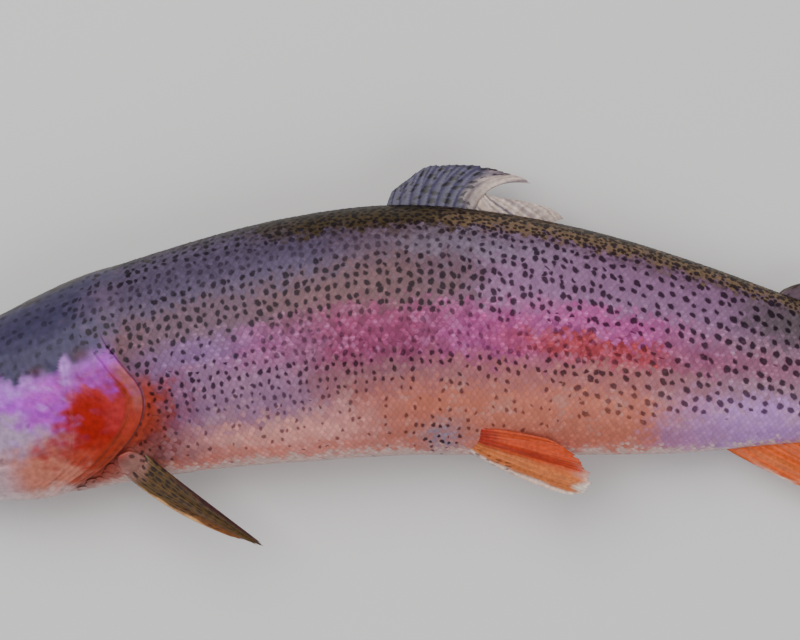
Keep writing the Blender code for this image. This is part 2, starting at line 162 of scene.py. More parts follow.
print("snout at", np.round(placed(0, -4, 0), 4))

# %% [markdown]
# ## The camera
#
# A trout that is held up is seen square from its left side. Here it lies down, so the
# camera looks straight down on the same flank. A long lens from a metre away keeps the shapes true, and
# the frame cuts off the snout and the tail.

# %% Camera
VIEW_MIDDLE = (188.85, 3.41)  # s and h at the middle of the view
VIEW_WIDTH = 0.273
OUTLINE_HEIGHT = 0.024  # the fish is widest in outline at this height
CAMERA_DISTANCE = 1.05
SENSOR = 36.0

camera_data = bpy.data.cameras.new("camera")
camera_data.sensor_width = SENSOR
camera_data.lens = SENSOR * CAMERA_DISTANCE / VIEW_WIDTH
camera = bpy.data.objects.new("camera", camera_data)
bpy.context.scene.collection.objects.link(camera)
middle_x, middle_y, _ = placed(*VIEW_MIDDLE, 0.0)
camera.location = (middle_x, middle_y, OUTLINE_HEIGHT + CAMERA_DISTANCE)
bpy.context.scene.camera = camera
print("camera", [round(c, 3) for c in camera.location], "lens", round(camera_data.lens, 1))

# %% [markdown]
# ## Meshes from arrays
#
# Every piece here is a closed surface worked out as arrays: loops of points, joined by four-sided
# faces, with both ends closed. Python loops over vertices would take minutes, so whole arrays go into
# the mesh at once. A closed surface has a volume, and its sign tells whether the faces point out.

# %% Mesh helpers
def tube_faces(rows, around):
    """Four-sided faces between each closed loop of points and the next."""
    i, j = np.meshgrid(np.arange(rows - 1), np.arange(around), indexing="ij")
    k = (j + 1) % around
    here, after = i * around, (i + 1) * around
    return np.stack([here + j, here + k, after + k, after + j], -1).reshape(-1, 4)


def volume(points, faces):
    """Six times the signed volume: each face as a fan of tetrahedra from the origin."""
    total = 0.0
    for group in faces:
        for k in range(1, group.shape[1] - 1):
            a, b, c = points[group[:, 0]], points[group[:, k]], points[group[:, k + 1]]
            total += np.einsum("ij,ij->", a, np.cross(b, c))
    return total


def make_mesh(name, points, faces, attributes=None):
    """An object from points in metres and arrays of faces, turned outwards, with named attributes."""
    points = np.asarray(points, float).reshape(-1, 3)
    middle = points.mean(axis=0)
    if volume(points - middle, faces) < 0:
        faces = [group[:, ::-1] for group in faces]
    corners = np.concatenate([group.ravel() for group in faces])
    counts = np.concatenate([np.full(len(group), group.shape[1]) for group in faces])
    mesh = bpy.data.meshes.new(name)
    mesh.vertices.add(len(points))
    mesh.vertices.foreach_set("co", points.astype(np.float32).ravel())
    mesh.loops.add(len(corners))
    mesh.loops.foreach_set("vertex_index", corners.astype(np.int32))
    mesh.polygons.add(len(counts))
    mesh.polygons.foreach_set("loop_start", np.concatenate([[0], np.cumsum(counts)[:-1]]).astype(np.int32))
    mesh.update(calc_edges=True)
    mesh.validate()
    mesh.shade_smooth()
    for key, values in (attributes or {}).items():
        values = np.asarray(values, np.float32).reshape(len(points), -1)
        kind = {3: "FLOAT_VECTOR", 4: "FLOAT_COLOR"}[values.shape[1]]
        field = {3: "vector", 4: "color"}[values.shape[1]]
        mesh.attributes.new(key, kind, "POINT").data.foreach_set(field, values.ravel())
    obj = bpy.data.objects.new(name, mesh)
    bpy.context.scene.collection.objects.link(obj)
    return obj


def closed_tube(name, loops, attributes=None, flat_ends=False):
    """A closed surface from loops of points (rows, around, 3). Its ends close at a point, or as a strip."""
    rows, around = loops.shape[:2]
    points = loops.reshape(-1, 3)
    faces = [tube_faces(rows, around)]
    attributes = {k: np.asarray(v, float).reshape(rows * around, -1) for k, v in (attributes or {}).items()}
    last = (rows - 1) * around  # the first point of the last loop
    if flat_ends:
        k = np.arange(around // 2 - 1)
        strip = np.stack([k, around - 1 - k, around - 2 - k, k + 1], -1)
        faces += [strip, strip[:, ::-1] + last]
        return make_mesh(name, points, faces, attributes)
    j = np.arange(around)
    k = (j + 1) % around
    ends = [loops[0].mean(axis=0), loops[-1].mean(axis=0)]
    points = np.vstack([points, ends])
    faces.append(np.stack([k, j, np.full(around, rows * around)], -1))
    faces.append(np.stack([last + j, last + k, np.full(around, rows * around + 1)], -1))
    for key, v in attributes.items():
        attributes[key] = np.vstack([v, v[:around].mean(axis=0), v[last:].mean(axis=0)])
    return make_mesh(name, points, faces, attributes)


def finish_piece(piece, finish, slot, *nodes):
    """Gives a piece its material, sets it on the fish, hides the frame's parts it stands for; the slot is not
    used.
    """
    piece.data.materials.clear()
    piece.data.materials.append(finish)
    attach(piece, "root")
    if nodes:
        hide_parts(*nodes)
    return piece


print("a ring of 12 points and the next are joined by", len(tube_faces(2, 12)), "faces")

# %% [markdown]
# ## Round the body
#
# A place on the body is its s and its turn: 0 on the back, 90 on the left side, 180 on the belly, and
# negative on the right. Scales and spots follow the skin, so they need lengths along it and not
# angles. Each ring is measured once, from the back down, and a table turns lengths back into turns.

# %% Rings and arcs
COAT_DEPTH = 0.42  # the skin lies this far inside the outer surface where scales cover it
HEAD_DEPTH = 0.12  # and this far on the bare head


def ring(s, turn, lift=0.0):
    """The skin at s and turn, moved out by lift: h = middle + half |cos|^p and t = width |sin|^p."""
    back, belly, width, above, below = (body_line(c, s) for c in range(1, 6))
    inset = HEAD_DEPTH + (COAT_DEPTH - HEAD_DEPTH) * soft(86, 104, s)
    up, out = np.cos(np.radians(turn)), np.sin(np.radians(turn))
    power = 2 / np.where(up >= 0, above, below)
    half = (back - belly) / 2 - np.minimum(inset, (back - belly) / 4) + lift
    wide = width - np.minimum(inset, width / 2) + lift
    h = (back + belly) / 2 + half * np.sign(up) * np.abs(up) ** power
    t = wide * np.sign(out) * np.abs(out) ** power
    return h, t


ARC_STATIONS = np.arange(0.0, BODY_END + 1.0, 1.0)
ARC_TURNS = np.arange(-210.0, 211.0, 1.0)
ARC_STEP = 0.25
ARCS = np.arange(-150.0, 150.0 + ARC_STEP, ARC_STEP)


def measure_rings():
    """Lengths round each ring from the back, and the turn at each evenly spaced length."""
    s, turn = np.meshgrid(ARC_STATIONS, ARC_TURNS, indexing="ij")
    h, t = ring(s, turn)
    steps = np.hypot(np.diff(h, axis=1), np.diff(t, axis=1))
    lengths = np.concatenate([np.zeros((len(s), 1)), np.cumsum(steps, axis=1)], axis=1)
    lengths -= lengths[:, [int(-ARC_TURNS[0])]]
    turns = np.stack([np.interp(ARCS, row, ARC_TURNS) for row in lengths])
    return lengths, turns


ARC_LENGTHS, TURNS_AT = measure_rings()


def look_up(table, row, column):
    """A table read between its rows and columns, in proportion to the nearness of each."""
    row = np.clip(row, 0, table.shape[0] - 1.001)
    column = np.clip(column, 0, table.shape[1] - 1.001)
    i, j = row.astype(int), column.astype(int)
    u, v = row - i, column - j
    near = table[i, j] * (1 - v) + table[i, j + 1] * v
    far = table[i + 1, j] * (1 - v) + table[i + 1, j + 1] * v
    return near * (1 - u) + far * u


def arc_at(s, turn):
    """Millimetres along the skin from the back, positive down the left side."""
    return look_up(ARC_LENGTHS, np.asarray(s, float) + 0 * turn, np.asarray(turn) - ARC_TURNS[0])


def turn_at(s, arc):
    """The turn that lies an arc away from the back."""
    return look_up(TURNS_AT, np.asarray(s, float) + 0 * arc, (np.asarray(arc) - ARCS[0]) / ARC_STEP)


print("girth at s = 190:", round(2 * float(arc_at(190.0, 180.0)), 1), "mm")

# %% [markdown]
# ## Waves for ragged edges
#
# Nothing on a fish has a ruled edge. A sum of sine waves in random directions is the plainest smooth
# noise: it is seeded, quick over whole arrays, and runs on over the back without a seam.

# %% Ripples
WAVES, WAVES_SCALE = 10, 3.2


def ripple(s, h, t, reach, seed):
    """Smooth noise, mostly from -1 to 1: waves of about one length, each in its own direction."""
    draw = np.random.default_rng(seed)
    total = 0.0
    for _ in range(WAVES):
        direction = draw.normal(size=3)
        direction *= 2 * math.pi / (np.linalg.norm(direction) * reach * draw.uniform(0.6, 1.6))
        total = total + np.sin(direction[0] * s + direction[1] * h + direction[2] * t + draw.uniform(0, 6.28))
    return total / WAVES_SCALE


def lump(s, h, s0, h0, along, across):
    """A round patch: 1 at (s0, h0), fading as a bell over along and across."""
    return np.exp(-(((s - s0) / along) ** 2 + ((h - h0) / across) ** 2))


print("a ripple along the side:", np.round(ripple(np.arange(0, 40, 10.0), 0, 0, 34, 1), 2))

# %% [markdown]
# ## The trout's colours
#
# A rainbow trout is olive over the back, steel and bronze down the side, with the rose stripe that names
# it, then silver, tan and cream. Its head is slate above and lilac below, and its gill cover is scarlet.
# These could be nodes, but skin and scales have to match wherever they meet, so one function of
# the place on the body gives the colour of both, and each vertex keeps it as an attribute.

# %% Pigments
def paint(red, green, blue):
    """A pigment, as the share of red, green and blue light that it gives back."""
    return np.array([red, green, blue])


OLIVE_SHADE = paint(0.062, 0.040, 0.017)
OLIVE_BACK = paint(0.210, 0.133, 0.068)
STEEL = paint(0.107, 0.078, 0.136)
BRONZE = paint(0.131, 0.074, 0.105)
LILAC_BLUE = paint(0.191, 0.096, 0.220)
ROSE = paint(0.254, 0.048, 0.121)
VIOLET = paint(0.429, 0.074, 0.257)
BRICK = paint(0.394, 0.055, 0.074)
MAUVE = paint(0.271, 0.109, 0.140)
TAN = paint(0.547, 0.165, 0.113)
CREAM = paint(0.777, 0.329, 0.295)
REAR_GREY = paint(0.311, 0.167, 0.239)
REAR_PALE = paint(0.484, 0.239, 0.586)
HEAD_SLATE = paint(0.052, 0.044, 0.095)
CHEEK_LILAC = paint(0.438, 0.048, 0.639)
MAGENTA = paint(0.300, 0.038, 0.259)
SCARLET = paint(0.352, 0.012, 0.008)
CRIMSON = paint(0.421, 0.029, 0.030)
RIM_ORANGE = paint(0.418, 0.049, 0.022)
THROAT = paint(0.566, 0.185, 0.127)
JAW_WHITE = paint(0.660, 0.510, 0.500)
PINK_MAUVE = paint(0.390, 0.135, 0.139)
SHOULDER = paint(0.137, 0.054, 0.059)
BELLY = paint(0.604, 0.166, 0.117)
BROWN_GREY = paint(0.151, 0.079, 0.089)
LILAC_GREY = paint(0.286, 0.146, 0.269)
PINK = paint(0.328, 0.062, 0.197)
REAR_DARK = paint(0.118, 0.090, 0.100)
STEEL_PALE = paint(0.278, 0.236, 0.319)
CHEEK_PINK = paint(0.461, 0.057, 0.500)
LILAC_PALE = paint(0.237, 0.143, 0.327)
PALE_SILVER = paint(0.505, 0.297, 0.282)
WISP = paint(0.543, 0.243, 0.805)
PECTORAL_BASE = paint(0.305, 0.143, 0.115)
BLUE_MIST = paint(0.317, 0.166, 0.272)
BELLY_WHITE = paint(0.640, 0.470, 0.430)
OLIVE_DARK = paint(0.040, 0.033, 0.022)
TAIL_SILVER = paint(0.360, 0.270, 0.370)
TAIL_GREY = paint(0.150, 0.110, 0.140)
NAPE_GREY = paint(0.161, 0.106, 0.180)
# painted shade: the brown in the folds of the gill cover and in the corner behind it
PAINTED_GILL_SHADE = paint(0.264, 0.028, 0.008)
GILL_SALMON = paint(0.329, 0.090, 0.080)
MAROON = paint(0.069, 0.018, 0.030)
FORE_RED = paint(0.385, 0.056, 0.048)
SILVER = paint(0.440, 0.300, 0.450)
INK = paint(0.006, 0.003, 0.006)
print("the scarlet gives back", SCARLET, "and the white of the belly", BELLY_WHITE)

# %% [markdown]
# The gill cover ends at the gill opening, a curve that bulges back at mid height and runs forward under
# the throat. Much hangs on it: the skin's folds, where colours change, and where scales
# begin. So it is one function of the height angle, which is 90 on the back and -90 on the belly.

# %% The gill line and the mouth line
GILL_ANGLES = (-90, -70, -55, -42, -28, -12, 8, 20, 45, 90)
GILL_PLACES = (60, 68, 79, 88, 96, 99.5, 94.5, 91.5, 94, 96)
MOUTH_PLACES, MOUTH_ANGLES = (0, 3, 10, 30, 46, 60), (-6, -13, -21, -30, -36, -38)


def gill_line(angle):
    """Where the gill opening lies along the body, at a height angle in degrees."""
    return curve_through(GILL_ANGLES, GILL_PLACES, angle)


def past_gill(s, angle):
    """Millimetres behind the gill opening, measured square to it."""
    slant = (gill_line(angle + 1) - gill_line(angle - 1)) / 2
    return (s - gill_line(angle)) / np.sqrt(1 + (1.3 * slant) ** 2)


def height_angle(turn):
    """The height angle of a turn: 90 on the back, 0 at mid side, -90 on the belly."""
    return 90 - np.abs((turn + 180) % 360 - 180)


print("gill opening at mid side: s =", round(float(gill_line(0.0)), 1), "mm")

# %% [markdown]
# ## Washes over the body
#
# A fish's colours run into each other, so its paint is built as a painter would: thin washes laid over
# a ground of bronze, each from somewhere to somewhere along the body and between two levels, with a
# soft edge that the ripples make ragged. Nodes could mix them too, but a table is easier to read and change.

# %% Washes
def laid(colour, *washes):
    """Washes laid on a colour, one over the other: each is a pigment and its share at every place."""
    for pigment, share in washes:
        colour = colour + (pigment - colour) * share[..., None]
    return colour


def all_over(pigment, s):
    """One pigment at every place."""
    return np.broadcast_to(pigment, s.shape + (3,))


def window(x, low, high, fade):
    """1 between low and high, and 0 outside, with a soft edge of the given half width."""
    return soft(low - fade, low + fade, x) * soft(high + fade, high - fade, x)


def level_of(s, h):
    """How high a place lies on its side: -1 on the belly, 0 halfway up and 1 on the back."""
    back, belly = body_line(1, s), body_line(2, s)
    return (h - (back + belly) / 2) / ((back - belly) / 2)


# paint; from, to and fade along the body; from, to and fade in level; strength
BODY_WASHES = (
    (MAUVE, -50, 600, 9, -2, -0.10, 0.14, 1.0),
    (PINK_MAUVE, 205, 290, 22, -0.50, 0.0, 0.14, 1.0),
    (LILAC_BLUE, 88, 150, 14, -0.62, 0.14, 0.14, 1.0),
    (SHOULDER, 80, 104, 8, -2, 0.4, 0.2, 0.7),
    (TAN, 172, 296, 26, -2, -0.42, 0.13, 1.0),
    (CREAM, 112, 176, 16, -2, -0.58, 0.16, 1.0),
    (BELLY, -50, 600, 9, -2, -0.84, 0.08, 0.8),
    (BROWN_GREY, 150, 205, 18, 0.16, 0.58, 0.12, 1.0),
    (LILAC_GREY, 216, 320, 16, 0.02, 0.78, 0.14, 1.0),
    (ROSE, 158, 205, 14, -0.22, 0.20, 0.11, 1.0),
    (BLUE_MIST, 112, 158, 14, -0.60, -0.06, 0.12, 0.8),
    (PINK, 202, 240, 12, -0.20, 0.22, 0.10, 1.0),
    (PINK, 136, 158, 12, -0.20, 0.14, 0.12, 0.5),
    (VIOLET, 234, 296, 14, -0.10, 0.32, 0.10, 0.85),
    (BRICK, 232, 290, 14, -0.13, 0.08, 0.05, 1.0),
    (REAR_GREY, 294, 600, 24, -2, 0.34, 0.12, 1.0),
    (ROSE, 286, 330, 12, -0.12, 0.16, 0.1, 0.5),
    (REAR_PALE, 292, 420, 24, -2, -0.38, 0.14, 0.85),
    (REAR_DARK, 304, 600, 16, 0.40, 0.85, 0.16, 0.9),
    (STEEL, 92, 176, 16, 0.48, 2, 0.14, 1.0),
    (STEEL_PALE, 190, 240, 22, 0.60, 0.80, 0.10, 0.5),
    # the dark olive band along the back from s 148 to 214 is partly the back's own olive and partly painted
    # shade
    (OLIVE_SHADE, 148, 214, 12, 0.81, 2, 0.05, 1.0),
    (OLIVE_BACK, 206, 600, 14, 0.85, 2, 0.05, 0.9),
    (TAIL_SILVER, 345, 600, 20, -2, -0.15, 0.25, 0.75),
    (TAIL_GREY, 390, 600, 9, -2, 2, 0.1, 0.8),
    (BELLY_WHITE, -50, 600, 9, -2, -0.93, 0.04, 0.85),
    (OLIVE_DARK, 30, 385, 24, 0.95, 2, 0.05, 0.92))


def body_colour(s, h, t):
    """The body's washes, then silver low on the side, flecks in the stripe, and the vent. Also the level."""
    wide, mid, tiny = (ripple(s, h, t, reach, seed) for reach, seed in ((34, 1), (9, 2), (2.6, 3)))
    level = level_of(s, h) + 0.018 * mid + 0.02 * tiny
    place = s + 3.5 * wide + 1.5 * mid + tiny
    colour = all_over(BRONZE, s)
    for pigment, start, end, fade, low, high, blur, strength in BODY_WASHES:
        share = strength * window(place, start, end, fade) * window(level, low, high, blur)
        colour = laid(colour, (pigment, share))
    silver = soft(0.2, 1.4, ripple(0.7 * s, h, t, 6.5, 14) + 0.5 * tiny) * soft(-0.15, -0.5, level)
    colour = laid(colour, (PALE_SILVER, 0.34 * silver))
    stripe = window(level, -0.16, 0.22, 0.08) * window(place, 135, 296, 14)
    flecks = ripple(s, h, t, 4.0, 13)
    colour = colour * (1 + stripe * 0.22 * flecks)[..., None]
    vent = lump(s, h, 203, -36, 8, 5) * (0.7 + 0.3 * tiny)
    return laid(colour, (LILAC_GREY, 0.35 * stripe * soft(0.2, 1.2, flecks)), (STEEL_PALE, vent)), level


print(len(BODY_WASHES), "washes over the body")

# %% [markdown]
# ## The head's colours
#
# The head is painted the same way, but its zones have shapes of their own: a lilac cheek, a scarlet
# patch between two curves, a slate crown whose lower edge runs in fingers. All of them share
# one set of ripples, so that their edges fit together like the stains they are.

# %% Cheek and gill cover
SCARLET_TOP = ((54, 62, 68, 73, 77, 82, 88, 95, 99), (-16, -12, -10, -6, -0.5, 0.5, -3, -4, -8))
SCARLET_FOOT = ((54, 62, 70, 76, 82, 88, 95), (-18, -21, -23, -25.5, -26.5, -25, -20))
CROWN_EDGE = ((0, 12, 30, 52, 66, 80, 92, 104), (-1, 4, 9.5, 8.5, 7, 7.5, 12, 20))


def head_waves(s, h, t):
    """The ripples that rag the zones' edges: wide, mid and fine, then slanting fingers and streaks."""
    wide, mid, fine = (ripple(s, h, t, reach, seed) for reach, seed in ((11, 9), (6, 5), (2.2, 6)))
    slant = s - 0.3 * h
    finger = ripple(1.3 * slant, h * 0.3, t * 0.3, 8.5, 7) + 0.5 * ripple(slant, h * 0.3, t * 0.3, 3.4, 12)
    streak = ripple(1.5 * (s + 0.7 * h), 0.45 * (h - 0.7 * s), 0.4 * t, 3.4, 21)
    return wide, mid, fine, finger, streak


def cheek_colour(s, h, waves):
    """Silver at the snout, lilac and pink on the cheek, flesh colour and white under the jaw."""
    wide, mid, fine, finger, _ = waves
    return laid(
        all_over(SILVER, s),
        (CHEEK_LILAC, soft(44, 62, s + 4 * mid + 1.6 * (h + 2)) * soft(-17, -8, h + 2 * mid)),
        (CHEEK_PINK, window(s + 2 * mid, 61, 78, 6) * soft(-18, -6, h + mid) * (0.7 + 0.3 * fine)),
        (LILAC_PALE, soft(0.3, 1.3, wide + 0.5 * fine) * 0.5 * soft(-14, -4, h) * soft(84, 72, s)),
        (THROAT, soft(-10, -20, h + 2 * mid) * soft(36, 56, s)),
        (JAW_WHITE, soft(-8, -20, h + mid) * soft(54, 34, s) * 0.8),
        (MAGENTA, window(s + 2 * mid, 73, 90, 6) * window(h + 1.2 * finger, -8, 7, 3) * (0.8 + 0.2 * fine)),
        (LILAC_PALE, soft(4, 11, h - 1.8 * finger) * soft(50, 60, s) * 0.7),
        (ROSE, window(s + mid, 88, 99, 3) * window(h - finger, -3, 9, 4) * (0.4 + 0.2 * fine)))


def cover_colour(head, s, h, waves):
    """The scarlet patch of the gill cover, duller in front and orange below, with pale wisps over it."""
    _, mid, fine, _, streak = waves
    inside = np.minimum(np.interp(s, *SCARLET_TOP) - h, h - np.interp(s, *SCARLET_FOOT))
    inside = inside + 1.1 * mid + 0.9 * fine + 0.9 * streak
    fore = soft(77, 68, s + 2 * mid + 1.2 * fine)
    wisps = soft(0.5, 1.6, streak + 0.5 * fine) * soft(-19, -10, h) * window(s, 50, 82, 4)
    caps = np.maximum(lump(s, h, 58, 7, 5.5, 3.2), lump(s, h, 77, 8.5, 1.9, 6))
    return laid(
        head,
        (FORE_RED, soft(-2.5, 3.5, inside) * fore * soft(53, 62, s + 2 * mid) * (0.8 + 0.2 * fine)),
        (CRIMSON, soft(-3.4, 1.8, inside) * (1 - fore)),
        (SCARLET, soft(-0.6, 3.8, inside) * soft(90, 83, s + mid + fine) * (1 - fore)),
        (RIM_ORANGE, window(s + mid, 68, 83, 4) * soft(-17, -22, h + mid) * soft(-2, 2, inside) * 0.8),
        (WISP, wisps * (0.42 - 0.32 * soft(-2, 2, inside))),
        (NAPE_GREY, soft(10, 18, h + mid)),
        (WISP, caps * (0.62 + 0.2 * fine)))


def rim_colour(head, h, behind, waves):
    """The rim of the gill cover: orange, salmon higher up, and brown painted shade in the fold in front of
    it.
    """
    _, mid, fine, finger, _ = waves
    rim = soft(-6.0, -4.2, behind) * soft(6, -4, h + finger) * soft(-38, -26, h)
    return laid(
        head,
        (RIM_ORANGE, rim * (0.70 + 0.18 * fine)),
        (GILL_SALMON, window(behind, -3.6, 0.5, 0.9) * window(h + 1.5 * finger, -10, 4, 3) * 0.8),
        # painted shade: brown in the fold in front of the rim, and under the rim's lower part
        (PAINTED_GILL_SHADE, window(behind, -6.0, -4.0, 0.8) * window(h + finger, -24, 2, 3) * (0.7 + 0.2 * fine)),
        (PAINTED_GILL_SHADE, soft(-5, 0, behind + mid) * window(h + finger, -34, -16, 4) * 0.7))


print("scarlet patch from s =", SCARLET_TOP[0][0], "to", SCARLET_TOP[0][-1], "mm")

# %% [markdown]
# The crown lies over both head and nape, so it is painted after they are joined. Last come the
# small things that make a head real: painted shadow along the gape, the white throat, the
# root of the pectoral fin, and a red painted shadow in the corner behind the gill cover.

# %% Crown, gape and shoulder
def crown_colour(colour, s, h, level, waves):
    """A slate crown that fades out on the nape, olive along the top, with two dark red flecks below it."""
    _, mid, fine, finger, _ = waves
    top = soft(0.78, 0.95, level)
    crown = h - np.interp(s, *CROWN_EDGE) + 2.1 * finger * soft(48, 58, s) + 0.5 * fine
    crown = crown - 5 * lump(s, h, 77, 9, 2.0, 7)
    slate = laid(all_over(HEAD_SLATE, s), (OLIVE_DARK, soft(0.92, 1.0, level) * 0.9))
    reach = soft(102 + 24 * top, 80 + 6 * top, s + 2.5 * mid + 1.5 * fine)
    flecks = np.maximum(lump(s, h, 83, 11, 3.4, 2.6), lump(s, h, 67, 10, 2.6, 1.6))
    return laid(
        colour,
        (slate, soft(-1.8, 2.8, crown) * reach),
        (MAROON, flecks * 0.75),
        (HEAD_SLATE, soft(14, 3, s + mid) * soft(-4.5, 0, h) * 0.75))


def corner_colour(colour, s, h, angle, level, behind, waves):
    """Painted shadow along the gape, the white throat, the pectoral fin's root, and red painted shadow behind
    the gill.
    """
    _, mid, fine, finger, _ = waves
    # painted shadow: a dark line along the groove of the mouth
    gape_shadow = np.abs(angle - np.interp(s, MOUTH_PLACES, MOUTH_ANGLES)) * np.minimum(0.02 * s + 0.1, 0.42)
    knob = lump(s, h, 90, -29, 6.5, 5) * soft(-2, 0, behind)
    round_knob = soft(0.2, 0.8, behind) * (1 - knob)
    # painted shadow in the corner behind the gill cover, where its rim overlaps the shoulder
    gill_shadow = soft(20, 2, behind + 2 * mid + fine) * window(h + mid, -34, -5, 5)
    margin = soft(6, 2, behind + 0.8 * fine) * window(h + finger, -27, -1, 4)
    return laid(
        colour,
        (MAROON, soft(1.0, 0.2, gape_shadow) * soft(46, 43, s) * 0.6),
        (JAW_WHITE, soft(-0.84, -0.98, level) * soft(86, 62, s) * 0.7),
        (PECTORAL_BASE, knob),
        (PAINTED_GILL_SHADE, gill_shadow * round_knob * 0.85),
        (RIM_ORANGE, margin * round_knob * 0.6))


def ground_colour(s, turn):
    """The fish's colour at each place: the head over the body up to the gill opening, then the crown."""
    h, t = ring(s, turn)
    angle = height_angle(turn)
    behind = past_gill(s, angle)
    waves = head_waves(s, h, t)
    body, level = body_colour(s, h, t)
    head = rim_colour(cover_colour(cheek_colour(s, h, waves), s, h, waves), h, behind, waves)
    nape = soft(6, 18, h)
    colour = laid(body, (head, soft(0.5 + 9 * nape, -0.3 - 9 * nape, behind)))
    colour = crown_colour(colour, s, h, level, waves)
    return corner_colour(colour, s, h, angle, level, behind, waves)


print("mid side at s = 190:", np.round(ground_colour(np.array([190.0]), np.array([90.0]))[0], 2))

# %% [markdown]
# ## Where the spots go
#
# The spots are cells of a random pattern, and the material draws them. It has to know, at each place,
# how many of the cells are filled, how big a spot is and how dark. Small spots about 3.3 mm apart
# cover the flank, and large ones 4.2 mm apart cover the head and the tail. One pattern stretched to do
# both would slant the spots, so there are two, and one thins out where the other fills in.

# %% Spot attributes
SPOT_PITCH, LARGE_PITCH = 3.3, 4.2


def spot_share(level, front, vent):
    """Filled cells: nearly all above the stripe, few in it, a belt below it, and few on the belly."""
    share = 0.34 + 0.66 * soft(0.12, 0.26, level)
    belt = soft(-0.04, -0.12, level) * (1 - soft(-0.26 - 0.16 * front, -0.42 - 0.16 * front, level))
    share = share + (0.50 + 0.35 * front) * belt
    share = np.maximum(share, 0.42 * soft(0.0, -0.3, level)) * soft(-0.95, -0.75, level)
    flank = soft(-0.52, -0.32, level) * (0.75 + 0.25 * soft(0.1, 0.2, level))
    return np.maximum(np.maximum(share, 0.92 * front * flank), 0.95 * vent)


def spot_size(s, level, vent):
    """The radius of a small spot, in cells: it grows up the side, but not high on the front half."""
    size = 0.20 + 0.06 * soft(-0.5, -0.1, level) + 0.035 * soft(0.1, 0.3, level) + 0.04 * vent
    return size - 0.025 * soft(0.4, 0.6, level) * soft(250, 220, s)


def spot_darkness(s, level, rear, vent, crown, body):
    """How dark the spots are: paler on the belly, in the stripe, high on the front, and on the head."""
    dark = 0.70 + 0.25 * soft(-0.55, -0.15, level) + 0.3 * vent
    dark = dark * (1 - 0.40 * window(level, -0.16, 0.14, 0.06) * window(s, 140, 290, 16))
    high = soft(0.56, 0.66, level) * soft(0.84, 0.74, level)
    dark = dark * (1 - 0.40 * high * soft(230, 170, s) * body)
    dark = np.maximum(dark, 0.9 * rear * soft(-0.75, -0.55, level)) * (1 - 0.03 * soft(205, 230, s))
    return dark * body + (0.35 + 0.15 * crown + 0.15 * crown * soft(74, 88, s)) * (1 - body)


def large_spots(s, h, level, rear, crown, body):
    """Share and radius of the large spots: on the rear, but fewer in the stripe, and over the crown."""
    in_stripe = 0.45 + 0.55 * soft(0.0, 0.16, np.abs(level - 0.03)) + 0.4 * soft(280, 310, s)
    share = soft(0.15, 0.75, rear) * soft(-0.72, -0.45, level) * in_stripe
    on_head = np.maximum(0.85 * crown, 0.14 * soft(66, 60, s) * soft(-20, -12, h))
    size = 0.235 + 0.03 * soft(280, 315, s)
    return share * body + on_head * (1 - body), size * body + 0.21 * (1 - body)


def spot_attributes(s, turn):
    """For the material: place in the pattern and darkness; share, size and mesh; large share and size."""
    h, t = ring(s, turn)
    mid = ripple(s, h, t, 12, 8)
    level = level_of(s, h) + 0.03 * mid
    behind = past_gill(s, height_angle(turn))
    nape = 8 * soft(6, 18, h)
    body = soft(-1 - 1.7 * nape, 2 - (0.7 - 1.5 * soft(0.7, 0.9, level)) * nape, behind)
    front = soft(185, 160, s + 4 * mid)
    rear = soft(214, 288, s + 6 * mid)
    crown = soft(7, 12, h + mid)
    vent = lump(s, h, 202, -36, 9, 6)
    top = soft(0.74, 0.86, level) * soft(128, 160, s) * soft(385, 330, s)
    mesh = np.maximum(top, 0.25 * soft(0.6, 0.74, level) * soft(110, 130, s) * soft(240, 220, s)) * body
    share = spot_share(level, front, vent) * soft(0.85, 0.25, rear) * body * (1 - 0.35 * top)
    dark = spot_darkness(s, level, rear, vent, crown, body)
    large, large_size = large_spots(s, h, level, rear, crown, body)
    return (np.stack([s / SPOT_PITCH, arc_at(s, turn) / SPOT_PITCH, dark], -1),
            np.stack([share, spot_size(s, level, vent), mesh], -1),
            np.stack([large, large_size, 0 * large], -1))


def body_attributes(s, turn):
    """All that skin and scales share: the ground colour, the place in the pattern and the marks."""
    place, marks, coarse = spot_attributes(s, turn)
    return {"ground": opaque(ground_colour(s, turn)), "spot_place": place, "marks": marks, "coarse": coarse}


def opaque(colour):
    """A colour with the fourth number that a colour attribute needs."""
    return np.concatenate([colour, np.ones(colour.shape[:-1] + (1,))], -1)


print("small spots", SPOT_PITCH, "mm apart and large ones", LARGE_PITCH, "mm")

# %% [markdown]
# ## Materials
#
# A material here is a small net of nodes. Linked one by one they are hard to read, so one helper adds
# a node and fills its sockets by name, and two do sums of numbers and of vectors.

# %% Node helpers
def new_material(name, **settings):
    """A material with one Principled shader, its plain settings given by socket name."""
    made = bpy.data.materials.new(name)
    made.use_nodes = True
    shader = made.node_tree.nodes["Principled BSDF"]
    for key, value in settings.items():
        shader.inputs[key.replace("_", " ")].default_value = value
    return made, made.node_tree, shader


def fill(tree, socket, value):
    """Fills a socket from another socket, or with a plain value."""
    if isinstance(value, bpy.types.NodeSocket):
        tree.links.new(value, socket)
    elif value is not None:
        socket.default_value = value


def node(tree, kind, properties=None, **sockets):
    """Adds a node, sets its properties, and fills sockets by name with numbers or other sockets."""
    made = tree.nodes.new(kind)
    for key, value in (properties or {}).items():
        setattr(made, key, value)
    for key, value in sockets.items():
        fill(tree, made.inputs[key.replace("_", " ")], value)
    return made


def maths(tree, operation, a, b=None, c=None):
    """A sum of up to three numbers."""
    made = tree.nodes.new("ShaderNodeMath")
    made.operation = operation
    for socket, value in zip(made.inputs, (a, b, c)):
        fill(tree, socket, value)
    return made.outputs[0]


def vector_maths(tree, operation, a, b=None, result=0):
    """A sum of up to two vectors. Result 1 is a number, such as a length."""
    made = tree.nodes.new("ShaderNodeVectorMath")
    made.operation = operation
    fill(tree, made.inputs[0], a)
    fill(tree, made.inputs[1], b)
    return made.outputs[result]


